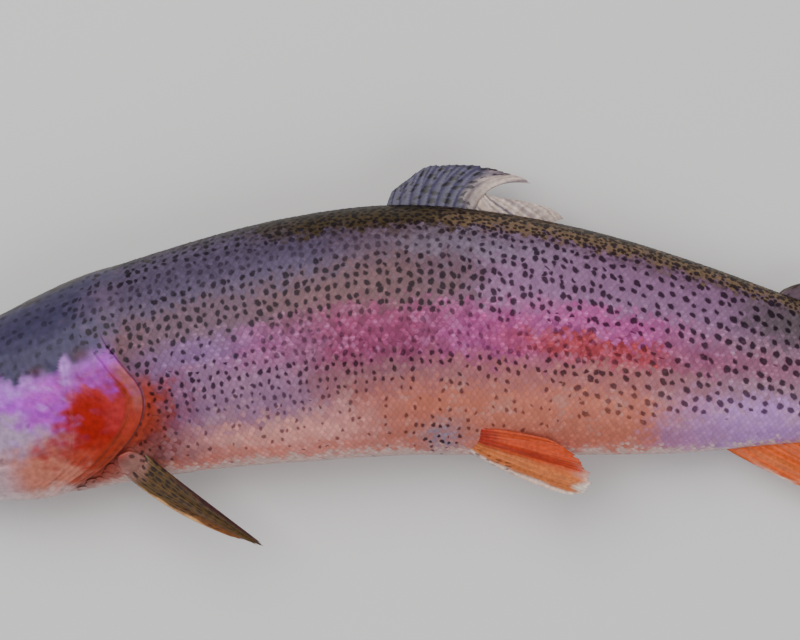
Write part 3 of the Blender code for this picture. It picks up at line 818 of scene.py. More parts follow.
print("helpers for nodes and sums are ready")

# %% [markdown]
# The other helpers are the few steps that every finish is made of: a mix of two colours, a smooth step,
# a shade, what the mesh keeps for a vertex, two kinds of random pattern, and a fine bump.

# %% Helpers for colour and pattern
def blend_colour(tree, share, a, b, how="MIX"):
    """Colour a with a share of colour b."""
    made = tree.nodes.new("ShaderNodeMix")
    made.data_type, made.blend_type = "RGBA", how
    for socket, value in zip((made.inputs[0], made.inputs[6], made.inputs[7]), (share, a, b)):
        fill(tree, socket, value)
    return made.outputs[2]


def step_between(tree, value, low, high, start=0.0, end=1.0):
    """A smooth step of a socket's value from start to end."""
    made = node(tree, "ShaderNodeMapRange", {"interpolation_type": "SMOOTHSTEP"}, Value=value)
    for key, number in (("From Min", low), ("From Max", high), ("To Min", start), ("To Max", end)):
        fill(tree, made.inputs[key], number)
    return made.outputs[0]


def shaded(tree, colour, light):
    """A colour made lighter or darker by a number."""
    made = vector_maths(tree, "SCALE", colour)
    fill(tree, made.node.inputs["Scale"], light)
    return made


def attribute(tree, name, output="Vector"):
    """What the mesh keeps for each vertex under a name."""
    return node(tree, "ShaderNodeAttribute", {"attribute_name": name}).outputs[output]


def noise(tree, vector, scale, detail=2.0, output="Fac"):
    """Soft random clouds, 1 / scale apart."""
    made = node(tree, "ShaderNodeTexNoise", None, Vector=vector, Scale=scale, Detail=detail)
    return made.outputs[output]


def cells(tree, where, scale, randomness):
    """A flat pattern of random cells, 1 / scale apart."""
    return node(tree, "ShaderNodeTexVoronoi", {"voronoi_dimensions": "2D"},
                Vector=where, Scale=scale, Randomness=randomness)


def add_bump(tree, shader, height, distance, strength=0.5):
    """Lets a height roughen the light on a finish, without changing its shape."""
    made = node(tree, "ShaderNodeBump", None, Height=height, Distance=distance, Strength=strength)
    tree.links.new(made.outputs[0], shader.inputs["Normal"])


print("helpers for colour and pattern are ready")

# %% [markdown]
# ## Spots in the material
#
# Each spot is the patch round the middle of one cell of a Voronoi pattern. The cell's own random
# colour says whether the spot is there, how big it is, and which way it is drawn out, so no two
# are alike. Noise on the coordinates frays the edges. On the back a finer pattern joins in as a dark mesh.

# %% The spotted skin
SPOT_ORDER = 0.54  # how far cells stray from an even lattice
SPOT_TURN = 0.85  # spots are drawn out in directions this far round on either side, in radians
WOBBLE = (0.36, 0.36, 0.0)
SMALL_STRETCH, LARGE_STRETCH = (1.18, 0.86, 0.0), (0.87, 1.11, 0.0)
SPOT_LEAST, SPOT_RANGE = 0.74, 0.50  # a spot's radius starts at this share of its size, and chance adds to it
MESH_SCALE, MESH_ORDER = 1.75, 0.85
SPOT_SHADE, INK_SHARE = (0.22, 0.15, 0.22, 1), 0.62  # a spot darkens its ground by this, and then inks it


def spot_layer(tree, where, scale, share, size, edge, stretch):
    """The mask of one set of spots, 1 / scale apart: 1 within each spot, 0 outside, soft at the edge."""
    spots = cells(tree, where, scale, SPOT_ORDER)
    chance = node(tree, "ShaderNodeSeparateColor", None, Color=spots.outputs["Color"])
    away = vector_maths(tree, "SUBTRACT", where, spots.outputs["Position"])
    away = vector_maths(tree, "MULTIPLY", away, (scale, scale, 0.0))
    angle = maths(tree, "MULTIPLY_ADD", chance.outputs[2], 2 * SPOT_TURN, -SPOT_TURN)
    turned = node(tree, "ShaderNodeVectorRotate", {"rotation_type": "Z_AXIS"}, Vector=away, Angle=angle)
    drawn_out = vector_maths(tree, "MULTIPLY", turned.outputs[0], stretch)
    distance = vector_maths(tree, "LENGTH", drawn_out, result=1)
    present = maths(tree, "LESS_THAN", chance.outputs[1], share)
    own_size = maths(tree, "MULTIPLY_ADD", chance.outputs[0], SPOT_RANGE, SPOT_LEAST)
    radius = maths(tree, "MULTIPLY", own_size, size)
    inner = maths(tree, "SUBTRACT", radius, edge)
    outer = maths(tree, "ADD", radius, edge)
    return maths(tree, "MULTIPLY", step_between(tree, distance, inner, outer, 1.0, 0.0), present)


def spotted(tree, ground, edge=0.10):
    """A ground colour with small and large spots and the dark mesh over it."""
    place, marks, coarse = (attribute(tree, name) for name in ("spot_place", "marks", "coarse"))
    share, size, mesh = node(tree, "ShaderNodeSeparateXYZ", None, Vector=marks).outputs
    large_share, large_size, _ = node(tree, "ShaderNodeSeparateXYZ", None, Vector=coarse).outputs
    dark = node(tree, "ShaderNodeSeparateXYZ", None, Vector=place).outputs[2]
    wobble = vector_maths(tree, "SUBTRACT", noise(tree, place, 2.6, 2.0, "Color"), (0.5, 0.5, 0.5))
    where = vector_maths(tree, "ADD", place, vector_maths(tree, "MULTIPLY", wobble, WOBBLE))
    small = spot_layer(tree, where, 1.0, share, size, edge, SMALL_STRETCH)
    large = spot_layer(
        tree, where, SPOT_PITCH / LARGE_PITCH, large_share, large_size, 0.8 * edge, LARGE_STRETCH)
    mask = maths(tree, "MULTIPLY", maths(tree, "MAXIMUM", small, large), dark)
    fine = cells(tree, where, MESH_SCALE, MESH_ORDER)
    fine_mask = step_between(tree, fine.outputs["Distance"], 0.22, 0.46, 1.0, 0.0)
    fine_mask = maths(tree, "MULTIPLY", fine_mask, maths(tree, "MULTIPLY", mesh, 0.9))
    shadow = blend_colour(tree, 1.0, ground, SPOT_SHADE, "MULTIPLY")
    ink = blend_colour(tree, INK_SHARE, shadow, (*INK, 1))
    return blend_colour(tree, maths(tree, "MAXIMUM", mask, fine_mask), ground, ink)


def make_skin_material():
    """Wet skin: the painted ground, spots, faint clouding, fine grain in the light, and a clear wet coat."""
    made, tree, shader = new_material(
        "trout_skin", Roughness=0.40, Metallic=0.12, Coat_Weight=0.06, Coat_Roughness=0.15,
        Specular_IOR_Level=0.16)
    place = node(tree, "ShaderNodeTexCoord").outputs["Object"]
    cloud = step_between(tree, noise(tree, place, 420.0, 4.0), 0.3, 0.7, 0.84, 1.14)
    colour = spotted(tree, shaded(tree, attribute(tree, "ground", "Color"), cloud))
    tree.links.new(colour, shader.inputs["Base Color"])
    add_bump(tree, shader, noise(tree, place, 1500.0, 2.0), 0.0001, 0.35)
    return made


SKIN = make_skin_material()
print("made the finish", SKIN.name)

# %% [markdown]
# ## One skin
#
# A real trout has one skin from lip to tail, with no seams, so it is one grid: rings from snout to tail,
# closed at both ends. Head detail is pushed out of it and pressed into it by formulas of the
# place: folds along lines, pits at points. A step looks crisp only where the grid runs along
# it, so the rings lean to follow the gill opening, and the columns to follow the mouth.

# %% The skin's grid
COLUMNS = 236
COLUMN_STEP = 360 / COLUMNS
MOUTH_COLUMN = 90 - 76 * COLUMN_STEP  # the height angle of the column that is bent to the mouth
GILL_STATION = 96.0
GILL_REACH_FRONT, GILL_REACH_BACK, GILL_HOLD = 84.0, 60.0, 3.0


def skin_stations():
    """Rings crowd at the snout and at the gill opening, and spread out along the trunk."""
    return np.concatenate([
        3 * np.linspace(0.22, 1, 12) ** 2, np.arange(3.46, 93.5, 0.46), np.arange(93.5, 98.4, 0.22),
        np.arange(98.6, 108, 0.6), np.linspace(108.4, BODY_END, 168)])


def skin_grid():
    """Place and turn of every vertex, with the rings leaning to the gill and the columns to the mouth."""
    station, turn = np.meshgrid(skin_stations(), np.arange(COLUMNS) * COLUMN_STEP - 180, indexing="ij")
    angle = height_angle(turn)
    to_mouth = curve_through(MOUTH_PLACES, MOUTH_ANGLES, np.minimum(station, 60)) - MOUTH_COLUMN
    near = np.clip(1 - ((angle - MOUTH_COLUMN) / 45) ** 2, 0, 1) ** 2
    angle = angle + near * to_mouth * soft(80, 52, station)
    turn = np.where(turn < 0, -1, 1) * (90 - angle)
    gap = np.maximum(np.abs(station - GILL_STATION) - GILL_HOLD, 0)
    reach = np.where(station < GILL_STATION, GILL_REACH_FRONT, GILL_REACH_BACK)
    lean = soft(1, 0, gap / reach)
    return station + lean * (gill_line(angle) - GILL_STATION), turn


S_GRID, TURN_GRID = skin_grid()
print("skin grid", S_GRID.shape, "least step along", round(float(np.diff(S_GRID, axis=0).min()), 3), "mm")

# %% [markdown]
# The folds of the head are all of three kinds: a step, where one plate overlaps the next; a groove; and
# a ridge. The cheek plate overlaps the gill cover, the gill cover ends in a soft rim, and the
# rim overlaps the shoulder. Under the throat, thin bony rays show through the skin side by side.

# %% Folds and pits
def overlap(d, up, reach, down, recover, edge=0.35):
    """A step at d = 0: rises to up over reach before it, drops to -down, and comes back over recover."""
    past = soft(-edge, edge, d)
    before = up * np.exp(np.minimum(d, 0) / reach)
    after = -down * np.exp(-np.maximum(d, 0) / recover)
    return before * (1 - past) + after * past


def fold(d, width):
    """A bell across a line: 1 on it, fading over the width on both sides."""
    return np.exp(-((d / width) ** 2))


def from_curve(s, h, corners):
    """Distance from a smooth curve through corners, seen from the side: positive to the left of its run."""
    corners = np.array(corners, float)
    share = np.linspace(0, 1, len(corners))
    fine = np.linspace(0, 1, 8 * len(corners))
    path = np.stack([curve_through(share, corners[:, k], fine) for k in (0, 1)], -1)
    best, signed = np.full(s.shape, 1e9), np.zeros(s.shape)
    for (s0, h0), (s1, h1) in zip(path, path[1:]):
        run_s, run_h = s1 - s0, h1 - h0
        u = np.clip(((s - s0) * run_s + (h - h0) * run_h) / (run_s**2 + run_h**2), 0, 1)
        away = np.hypot(s - s0 - u * run_s, h - h0 - u * run_h)
        side = np.sign(run_s * (h - h0) - run_h * (s - s0))
        nearer = away < best
        best, signed = np.where(nearer, away, best), np.where(nearer, side * away, signed)
    return signed


print("a plate's edge:", np.round(overlap(np.array([-3.0, 0.0, 3.0]), 0.4, 7.0, 0.3, 2.2), 2), "mm")

# %% [markdown]
# Three functions model the head in turn. The first does the gill cover: a soft swelling, its edge over
# the shoulder, the rim with its fine pleats, and the throat's rays. The second does the cheek:
# the edge of its plate, a ridge in front of it, and the seams between the plates behind.

# %% Gill cover and cheek
GILL_SWELL, GILL_SWELL_AT, GILL_SWELL_REACH = 0.7, 91.5, 16.0
RIM_WIDTH = 4.8  # the soft rim behind the bony plate
RAY_PITCH = 2.5  # between the bony rays of the throat
CHEEK_EDGE = ((77, 10), (76, 2), (74.5, -8), (71.5, -17), (66, -24), (58, -28), (49, -29))
CHEEK_RIDGE = ((68.5, 9), (67, 0), (64.5, -9), (59, -17), (50, -21))
COVER_SUTURE = ((75, -15.5), (84, -18.5), (96, -21.5))
UNDER_SUTURE = ((62, -25.5), (74, -27), (86, -29))


def cover_relief(s, h, angle, d):
    """The gill cover, by the distance d behind the gill opening: swelling, edge, rim, pleats and rays."""
    above = 0.4 + 12 * soft(-2, 20, angle)
    out = GILL_SWELL * fold(s - GILL_SWELL_AT, GILL_SWELL_REACH) * soft(above, -above, d)
    out += soft(26, 12, angle) * overlap(d, 0.12, 3.0, 0.95, 4.5, 0.3)
    side = soft(-36, -24, h) * soft(14, 7, h)
    out += side * overlap(d + RIM_WIDTH, 0.28, 5.0, 0.30, 2.4, 0.45) * soft(-9, -6, d + 0.1)
    out += 0.12 * side * np.sin(h * 2.1 + 0.6 * np.sin(h)) * fold(d + 2.2, 1.4)
    rays = soft(-34, -46, angle) * soft(-17, -12, d) * soft(-0.4, -1.6, d)
    return out + 0.24 * rays * np.cos(2 * math.pi * d / RAY_PITCH)


def cheek_relief(s, h, angle, d):
    """The cheek: its plate's edge and ridge, the seams, fine lines that fan out, and soft rises."""
    side = soft(-72, -58, angle)
    out = side * overlap(from_curve(s, h, CHEEK_EDGE), 0.38, 7.0, 0.26, 2.2) * soft(16, 9, h)
    out += 0.28 * side * fold(from_curve(s, h, CHEEK_RIDGE), 1.6)
    for curve, depth in ((COVER_SUTURE, 0.24), (UNDER_SUTURE, 0.22)):
        out -= depth * side * fold(from_curve(s, h, curve), 0.6) * soft(-5, -6, d)
    fan = np.degrees(np.arctan2(h - 8, s - 74))
    out += 0.05 * np.sin(fan * 0.9) * lump(s, h, 86, -8, 9, 10)
    return out + 0.55 * lump(s, h, 60, -4, 12, 9) - 0.3 * lump(s, h, 46, 9, 6, 9)


print("cheek's edge of", len(CHEEK_EDGE), "points, two seams behind it")

# %% [markdown]
# The third does the mouth and the small things. The lips are two rolls with a groove between, up to the
# corner of the mouth. Under the chin runs the fold between the jaw bones. The nostrils are
# pits with a raised rim, and the pores of the head's lateral line are small dents in rows.

# %% Mouth, nostrils and pores
NOSTRILS = ((13.6, 4.6, 0.85), (16.2, 5.6, 0.75))
PORES = ((70, -4), (67.5, -12), (62, -19), (54, -23.5), (46, -24.5), (37, -22), (28, -19), (20, -16),
         (22, 0.5), (26, -2.5), (33, -3), (39, 0.5), (42, 6.5), (24, 15), (33, 18))
PORE_RADIUS, PORE_DEPTH = 0.5, 0.3
SNOUT_TRIM = 0.12  # the snout is drawn in, so that the lips stay within the frame


def mouth_relief(s, h, t, angle):
    """Lips, chin fold, nostrils and pores."""
    line = curve_through(MOUTH_PLACES, MOUTH_ANGLES, np.minimum(s, 60))
    mouth = (angle - line) * np.radians(1) * np.hypot(h + 4, t)
    lips = 0.4 * fold(mouth - 1.5, 1) + 0.5 * fold(mouth + 1.6, 1.1) - 1.25 * fold(mouth, 0.5)
    out = soft(51, 46, s) * soft(0.3, 5.0, s) * lips
    out -= 0.35 * fold(angle + 67, 3.2) * soft(52, 40, s) * soft(4, 12, s)
    for s0, h0, radius in NOSTRILS:
        away = np.hypot(s - s0, h - h0)
        out += 0.3 * fold(away - 1.35, 0.45) - 1.3 * np.exp(-((away / radius) ** 4))
    for s0, h0 in PORES:
        out -= PORE_DEPTH * lump(s, h, s0, h0, PORE_RADIUS, PORE_RADIUS)
    return out


def head_relief(s, h, t, turn):
    """How far each place of the head stands out of its plain section, in millimetres."""
    angle = height_angle(turn)
    d = past_gill(s, angle)
    out = cover_relief(s, h, angle, d) + cheek_relief(s, h, angle, d)
    out += 0.06 * ripple(s, h, t, 6, 21) + 0.035 * ripple(s, h, t, 2.4, 22)
    out *= soft(6, -4, s - GILL_STATION - 8) * soft(0, 5, s)
    return out + mouth_relief(s, h, t, angle) - SNOUT_TRIM * soft(9, 3, s)


print(len(NOSTRILS), "nostrils and", len(PORES), "pores on each side")

# %% [markdown]
# The eye sits in a socket: the skin is pressed in under the ball, and rises in a rim round it. The eye's
# own frame of directions, a little forward and down, serves the socket, the eyelid and the ball.

# %% Eye sockets and the skin
EYE_TILT = (math.radians(-14), math.radians(-9))
EYE_RADIUS, EYE_DEPTH = 7.2, 5.2
EYE_OPENING = 6.1
SOCKET_REACH = 14.0
SOCKET_DEPTH = -1.0  # the skin under the ball lies this far along the eye's axis from its centre


def eye_frame(side):
    """The eye's centre and its three directions: forward-level, up, and out along its axis."""
    a, b = EYE_TILT[0] * side, EYE_TILT[1] * side
    turn_x = np.array([[1, 0, 0], [0, math.cos(a), -math.sin(a)], [0, math.sin(a), math.cos(a)]])
    turn_y = np.array([[math.cos(b), 0, math.sin(b)], [0, 1, 0], [-math.sin(b), 0, math.cos(b)]])
    axes = turn_y @ turn_x
    return np.array([*EYE_CENTRE[:2], side * EYE_CENTRE[2]]), axes[:, 0], axes[:, 1], axes[:, 2] * side


def ring_normals(points):
    """Unit normals of a grid of rings: the cross product of the steps along and around, turned out."""
    along = np.gradient(points, axis=0)
    around = (np.roll(points, -1, axis=1) - np.roll(points, 1, axis=1)) / 2
    normals = np.cross(around, along)
    normals /= np.maximum(np.linalg.norm(normals, axis=-1, keepdims=True), 1e-9)
    middle = points.mean(axis=1, keepdims=True)
    return normals * np.where(np.sum(normals * (points - middle), axis=(1, 2), keepdims=True) < 0, -1, 1)


def sink_eyes(plain, shaped):
    """Presses the shaped skin in under each eye, with a raised rim round it and a shallow moat outside."""
    for side in (1, -1):
        centre, _, _, axis = eye_frame(side)
        offset = shaped - centre
        depth = offset @ axis
        radius = np.linalg.norm(offset - depth[..., None] * axis, axis=-1)
        here = (plain[..., 2] * side > 0) & (radius < SOCKET_REACH)
        rim = 0.45 * fold(radius - 7.6, 1.1) - 0.2 * fold(radius - 10.4, 0.8)
        inside = soft(EYE_OPENING + 0.3, EYE_OPENING - 0.5, radius)
        new_depth = (depth + rim) * (1 - inside) + SOCKET_DEPTH * inside
        shaped = np.where(here[..., None], shaped + (new_depth - depth)[..., None] * axis, shaped)
    return shaped


def make_skin():
    """The whole skin, from its plain sections through relief and eye sockets to its place on the floor."""
    h, t = ring(S_GRID, TURN_GRID)
    plain = np.stack([S_GRID, h, t], axis=-1)
    relief = head_relief(S_GRID, h, t, TURN_GRID)
    shaped = sink_eyes(plain, plain + relief[..., None] * ring_normals(plain))
    world = placed(*np.moveaxis(shaped, -1, 0), floor=SKIN_FLOOR)
    return closed_tube("skin", world, body_attributes(S_GRID, TURN_GRID))


skin = make_skin()
finish_piece(skin, SKIN, "flank_skin", "head", "lower_jaw", "gill_cover_left", "gill_cover_right",
             "trunk_front", "trunk_middle", "trunk_rear", "tail_stalk")
print("skin", len(skin.data.polygons), "faces")

# %% [markdown]
# ## Jaw blades, fin roots and eyelids
#
# The upper jaw of a trout ends in a bony blade that lies over the skin beside the mouth, with a smaller
# one on its upper edge. The pectoral fin rises from a short fleshy root. All could be sculpted out
# of the skin, but each is a piece of its own with a crisp edge: an oval section, carried along a centre
# line and laid on the side of the head. They take the skin's own paint, and the roots have spots too.

# %% Pads on the side
# each outline is a centre line's s and h, and the half width there
JAW_BLADE = ((8.6, -4.9, 0.5), (14, -5.6, 1.7), (24, -7.8, 2.2), (34, -10.6, 2.6), (42, -13.2, 2.9),
             (46.4, -14.9, 1.2))
UPPER_BLADE = ((24, -5.2, 0.3), (30, -6.4, 1.1), (37, -8.4, 1.4), (43, -10.9, 1.1), (45.4, -12.2, 0.3))
LEFT_ROOT = ((85.2, -25.2, 0.6), (87, -26.8, 3.4), (89.6, -28.9, 4.4), (92.2, -31, 3.6), (94, -32.4, 0.8))
RIGHT_ROOT = ((86.5, -25, 0.6), (88.8, -25.6, 3.0), (91.8, -26.4, 3.6), (94.8, -27.2, 2.8), (97, -27.8, 0.6))
PECTORAL_ROOTS = {"left": (LEFT_ROOT, 0.7, 1.5), "right": (RIGHT_ROOT, 0.2, 0.9)}  # with lift and thickness
PAD_ROWS, PAD_AROUND = 60, 20
PAD_LEAST = 0.15  # the least half width, at the tips
SPOTTED = 0.7  # a root's share of filled cells, and how dark they are
SPOTTED_SIZE = 0.42  # the size of its spots, as a share of that


def side_out(s, h):
    """How far out the plain skin is at s and h, and its turn: the section's own formula, solved for t."""
    back, belly, width, above, below = (body_line(c, s) for c in range(1, 6))
    up = (h - (back + belly) / 2) / ((back - belly) / 2 - HEAD_DEPTH)
    square = np.where(up >= 0, above, below)
    left = np.clip(1 - np.abs(up) ** square, 0, 1)
    turn = np.degrees(np.arccos(np.clip(np.sign(up) * np.abs(up) ** (square / 2), -1, 1)))
    return (width - HEAD_DEPTH) * left ** (1 / square), turn


def make_pad(name, outline, side, lift, thick, slot, spots=0.0):
    """An oval section, half width by thick, carried along the outline's centre line on the skin."""
    share = np.linspace(0, 1, len(outline))
    fine = np.linspace(0, 1, PAD_ROWS)
    s, h, half = (curve_through(share, np.array(outline)[:, k], fine) for k in range(3))
    half = np.maximum(half, PAD_LEAST) * np.minimum(1, 14 * np.minimum(fine, 1 - fine) + 0.25) ** 0.5
    slope = np.arctan2(np.gradient(h), np.gradient(s))
    round_it = np.linspace(0, 2 * math.pi, PAD_AROUND, endpoint=False)
    across = np.cos(round_it) * half[:, None]
    s_all = s[:, None] - across * np.sin(slope)[:, None]
    h_all = h[:, None] + across * np.cos(slope)[:, None]
    out, turn = side_out(s_all, h_all)
    t_all = side * (out + lift + thick * np.sin(round_it) * np.minimum(half / 1.2, 1)[:, None])
    paint_on = body_attributes(s_all, side * turn)
    share, size, dark = ("marks", 0, spots), ("marks", 1, SPOTTED_SIZE * spots), ("spot_place", 2, spots)
    for key, column, least in (share, size, dark):
        paint_on[key][..., column] = np.maximum(paint_on[key][..., column], least)
    return finish_piece(closed_tube(name, placed(s_all, h_all, t_all, SKIN_FLOOR), paint_on), SKIN, slot)


print("jaw blades", JAW_BLADE[-1][0] - JAW_BLADE[0][0], "mm long")

# %% [markdown]
# The soft ring round the eye could be one more fold of the skin, but so tight a fold needs a finer grid.
# So it is a thin tube laid on the same surface, in the skin's own paint. Then one loop makes the blades,
# the eyelids and the roots of both sides.

# %% Eyelids, and the pieces of both sides
LID_RADIUS, LID_THICK = 6.45, 0.62
LID_BEARINGS, LID_AROUND = 72, 12


def ring_faces(rows, around):
    """Faces of a tube that closes on itself: the last loop is joined to the first."""
    return tube_faces(rows + 1, around) % (rows * around)


def make_eyelid(name, side):
    """A tube round the eye: at each bearing it sits where a cylinder about the eye's axis meets the skin."""
    centre, ahead, up, axis = eye_frame(side)
    bearing = np.linspace(0, 2 * math.pi, LID_BEARINGS, endpoint=False)[:, None]
    tube = np.linspace(0, 2 * math.pi, LID_AROUND, endpoint=False)[None, :]
    radius = LID_RADIUS + LID_THICK * np.cos(tube) * 1.25
    around = np.cos(bearing)[..., None] * ahead + np.sin(bearing)[..., None] * up
    on_skin = centre + radius[..., None] * around
    for _ in range(3):  # each step along the axis lands nearer to the skin
        out, _ = side_out(on_skin[..., 0], on_skin[..., 1])
        on_skin = on_skin + ((out * side - on_skin[..., 2]) / axis[2])[..., None] * axis
    height = 0.12 + LID_THICK * np.sin(tube) * 0.8 - 0.5 * soft(LID_RADIUS, LID_RADIUS - 1, radius)
    points = on_skin + height[..., None] * axis
    loops = placed(*np.moveaxis(points, -1, 0), floor=SKIN_FLOOR)
    _, turn = side_out(points[..., 0], points[..., 1])
    paint_on = body_attributes(points[..., 0], side * turn)
    piece = make_mesh(name, loops, [ring_faces(*loops.shape[:2])], paint_on)
    return finish_piece(piece, SKIN, "head_skin")


for label, sign in (("left", 1), ("right", -1)):
    blade = make_pad(f"maxilla_{label}_blade", JAW_BLADE, sign, 0.35, 0.75, "head_skin")
    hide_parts(f"maxilla_{label}")
    make_pad(f"supramaxilla_{label}", UPPER_BLADE, sign, 0.55, 0.55, "head_skin")
    make_eyelid(f"eyelid_{label}", sign)
    outline, lift, thick = PECTORAL_ROOTS[label]
    make_pad(f"pectoral_root_{label}", outline, sign, lift, thick, "pectoral_fin", SPOTTED)
print("jaw blades, eyelids of radius", LID_RADIUS, "mm and fin roots made")

# %% [markdown]
# ## Eyes
#
# A trout's eye hardly moves and has no lids that close. The pupil is a drop with its point forward, the
# iris is bronze with a thin gold ring, and the cornea gives a bright wet glint. The cornea could be a
# second shell of glass, but a clear coat on the finish gives the same glint. The ball is a turned
# profile with a shallow trough for the iris, so the light catches it as it does in life.

# %% Eyes
PUPIL = paint(0.004, 0.004, 0.006)
IRIS_DARK = paint(0.030, 0.020, 0.012)
IRIS_BRONZE = paint(0.22, 0.13, 0.05)
IRIS_GOLD = paint(0.55, 0.36, 0.12)
EYE_RIM = paint(0.02, 0.02, 0.025)
PUPIL_RADIUS, PUPIL_POINT = 2.35, 0.36  # the pupil's point adds this share to its radius
IRIS_SUNK = 0.22
IRIS_RAYS = 34
EYE_ROWS, EYE_BEARINGS = 90, 96


def make_eye(name, side, finish):
    """A flattened ball: its radius as a sine, its depth as a cosine, and the iris pressed in a little."""
    centre, ahead, up, axis = eye_frame(side)
    a = (np.linspace(0.02, 0.98, EYE_ROWS) ** 1.25 * math.pi)[:, None]
    bearing = np.linspace(0, 2 * math.pi, EYE_BEARINGS, endpoint=False)[None, :]
    radius = EYE_RADIUS * np.sin(a) + 0 * bearing
    front = a < math.pi / 2
    depth = EYE_DEPTH * np.cos(a) + 0 * bearing
    drop = PUPIL_RADIUS * (1 + PUPIL_POINT * np.clip(np.cos(bearing - math.pi - 0.25), 0, 1) ** 5)
    past = np.where(front, radius, 99.0) - drop  # millimetres outside the pupil
    depth = depth - IRIS_SUNK * soft(0, 0.5, past) * soft(3.1, 2.0, past)
    around = np.cos(bearing)[..., None] * ahead + np.sin(bearing)[..., None] * up
    points = centre + radius[..., None] * around + depth[..., None] * axis
    fleck = ripple(points[..., 0], points[..., 1], points[..., 2], 1.3, 31)
    rays = 0.5 + 0.5 * np.sin(IRIS_RAYS * bearing + 2.2 * fleck + radius)
    shade = np.clip(0.5 + 0.45 * fleck - 0.35 * np.sin(bearing) + 0.12 * rays, 0, 1)
    colour = laid(
        np.broadcast_to(IRIS_BRONZE, points.shape),
        (IRIS_DARK, shade),
        (IRIS_GOLD, fold(past - 0.45, 0.3) * (0.6 + 0.4 * rays)),
        (IRIS_GOLD, 0.5 * soft(0.45, 0.1, shade) * soft(0.5, 1.2, past)),
        (EYE_RIM, soft(2.7, 3.4, past)),
        (PUPIL, soft(0.10, -0.05, past)))
    eye = closed_tube(name, placed(*np.moveaxis(points, -1, 0)), {"ground": opaque(colour)})
    return finish_piece(eye, finish, "eye", name.replace("ball", "eye"))


def make_eye_material():
    """The painted iris under a thick clear coat; the iris itself has a slight metal shine."""
    made, tree, shader = new_material(
        "trout_eye", Roughness=0.28, Metallic=0.25, Coat_Weight=1.0, Coat_Roughness=0.02,
        Specular_IOR_Level=0.5)
    place = node(tree, "ShaderNodeTexCoord").outputs["Object"]
    cloud = step_between(tree, noise(tree, place, 2600.0, 3.0), 0.3, 0.7, 0.75, 1.2)
    tree.links.new(shaded(tree, attribute(tree, "ground", "Color"), cloud), shader.inputs["Base Color"])
    return made


EYE_FINISH = make_eye_material()
for label, sign in (("left", 1), ("right", -1)):
    make_eye(f"ball_{label}", sign, EYE_FINISH)
print("two eyes of radius", EYE_RADIUS, "mm")

# %% [markdown]
# ## The coat of scales
#
# Some eight thousand scales cover each side of the trunk, in rows that follow the lateral line, each one
# overlapping the next like slates, its free edge to the tail. A real scale is thin and half buried.
# Particle systems would scatter them, but here each has its own place in a lattice on the skin: a lens
# of a few dozen faces, sunk at its root and lifted at its tip. Four large meshes hold them all.

# %% Scale lattice
SCALE_PLACES, SCALE_STEPS = (60, 150, 300, 402), (2.35, 2.3, 2.1, 1.8)
ROW_SHARE = 0.66  # the distance between rows, as a share of the step along
SCALE_LENGTH, SCALE_WIDTH = 1.62, 0.62  # of a scale, and of its half, as shares of the step
ROOT_SUNK, TIP_LIFT, CROWN = 0.10, 0.20, 0.05
RIM_POINTS, INNER_POINTS = 12, 6
SCALES_FROM, SCALES_TO = 66.0, 398.5
MOST_ROWS = 48  # on each side of the lateral line
SCALE_COUNT = np.concatenate([[0], np.cumsum(ALONG_STEP / np.interp(ALONG, SCALE_PLACES, SCALE_STEPS))])[:-1]
LATERAL_RISE = 7.0  # the lateral line starts this far above mid side, at the gill opening
LATERAL_FADE = 22.0  # and comes down to it over this length


def scale_template():
    """A scale of unit length: an outline of twelve points, an inner ring of six, and the middle."""
    outer = np.arange(RIM_POINTS) * 2 * math.pi / RIM_POINTS
    inner = (np.arange(INNER_POINTS) * 2 + 1) * math.pi / INNER_POINTS
    x = np.concatenate([0.5 - 0.5 * np.cos(outer), 0.5 - 0.27 * np.cos(inner), [0.52]])
    y = np.concatenate([np.sin(outer) * (1 - 0.14 * np.cos(outer)), 0.54 * np.sin(inner), [0.0]])
    lift = (ROOT_SUNK + TIP_LIFT) * x - ROOT_SUNK
    lift += np.concatenate([np.zeros(RIM_POINTS), np.full(INNER_POINTS, CROWN * 0.8), [CROWN]])
    k = np.arange(INNER_POINTS)
    even, odd, after = 2 * k, 2 * k + 1, (2 * k + 2) % RIM_POINTS
    before, here, beyond = (RIM_POINTS + (k + step) % INNER_POINTS for step in (-1, 0, 1))
    middle = np.full(INNER_POINTS, RIM_POINTS + INNER_POINTS)
    faces = np.concatenate([
        np.stack([even, odd, here], -1), np.stack([odd, after, here], -1),
        np.stack([even, here, before], -1), np.stack([here, beyond, middle], -1)])
    under = np.arange(RIM_POINTS)[::-1][None, :]
    return x, y, lift, faces, under


def lateral_arc(s):
    """The arc from the back to the lateral line: mid side, rising to the top of the gill opening."""
    rise = LATERAL_RISE * np.exp(-np.maximum(s - 90, 0) / LATERAL_FADE)
    return arc_at(s, np.full(np.shape(s), 90.0)) - rise


def row_arc(s, row, side):
    """The arc of a row of scales, counted down from the lateral line."""
    return side * (lateral_arc(s) + row * ROW_SHARE * np.interp(s, SCALE_PLACES, SCALE_STEPS))


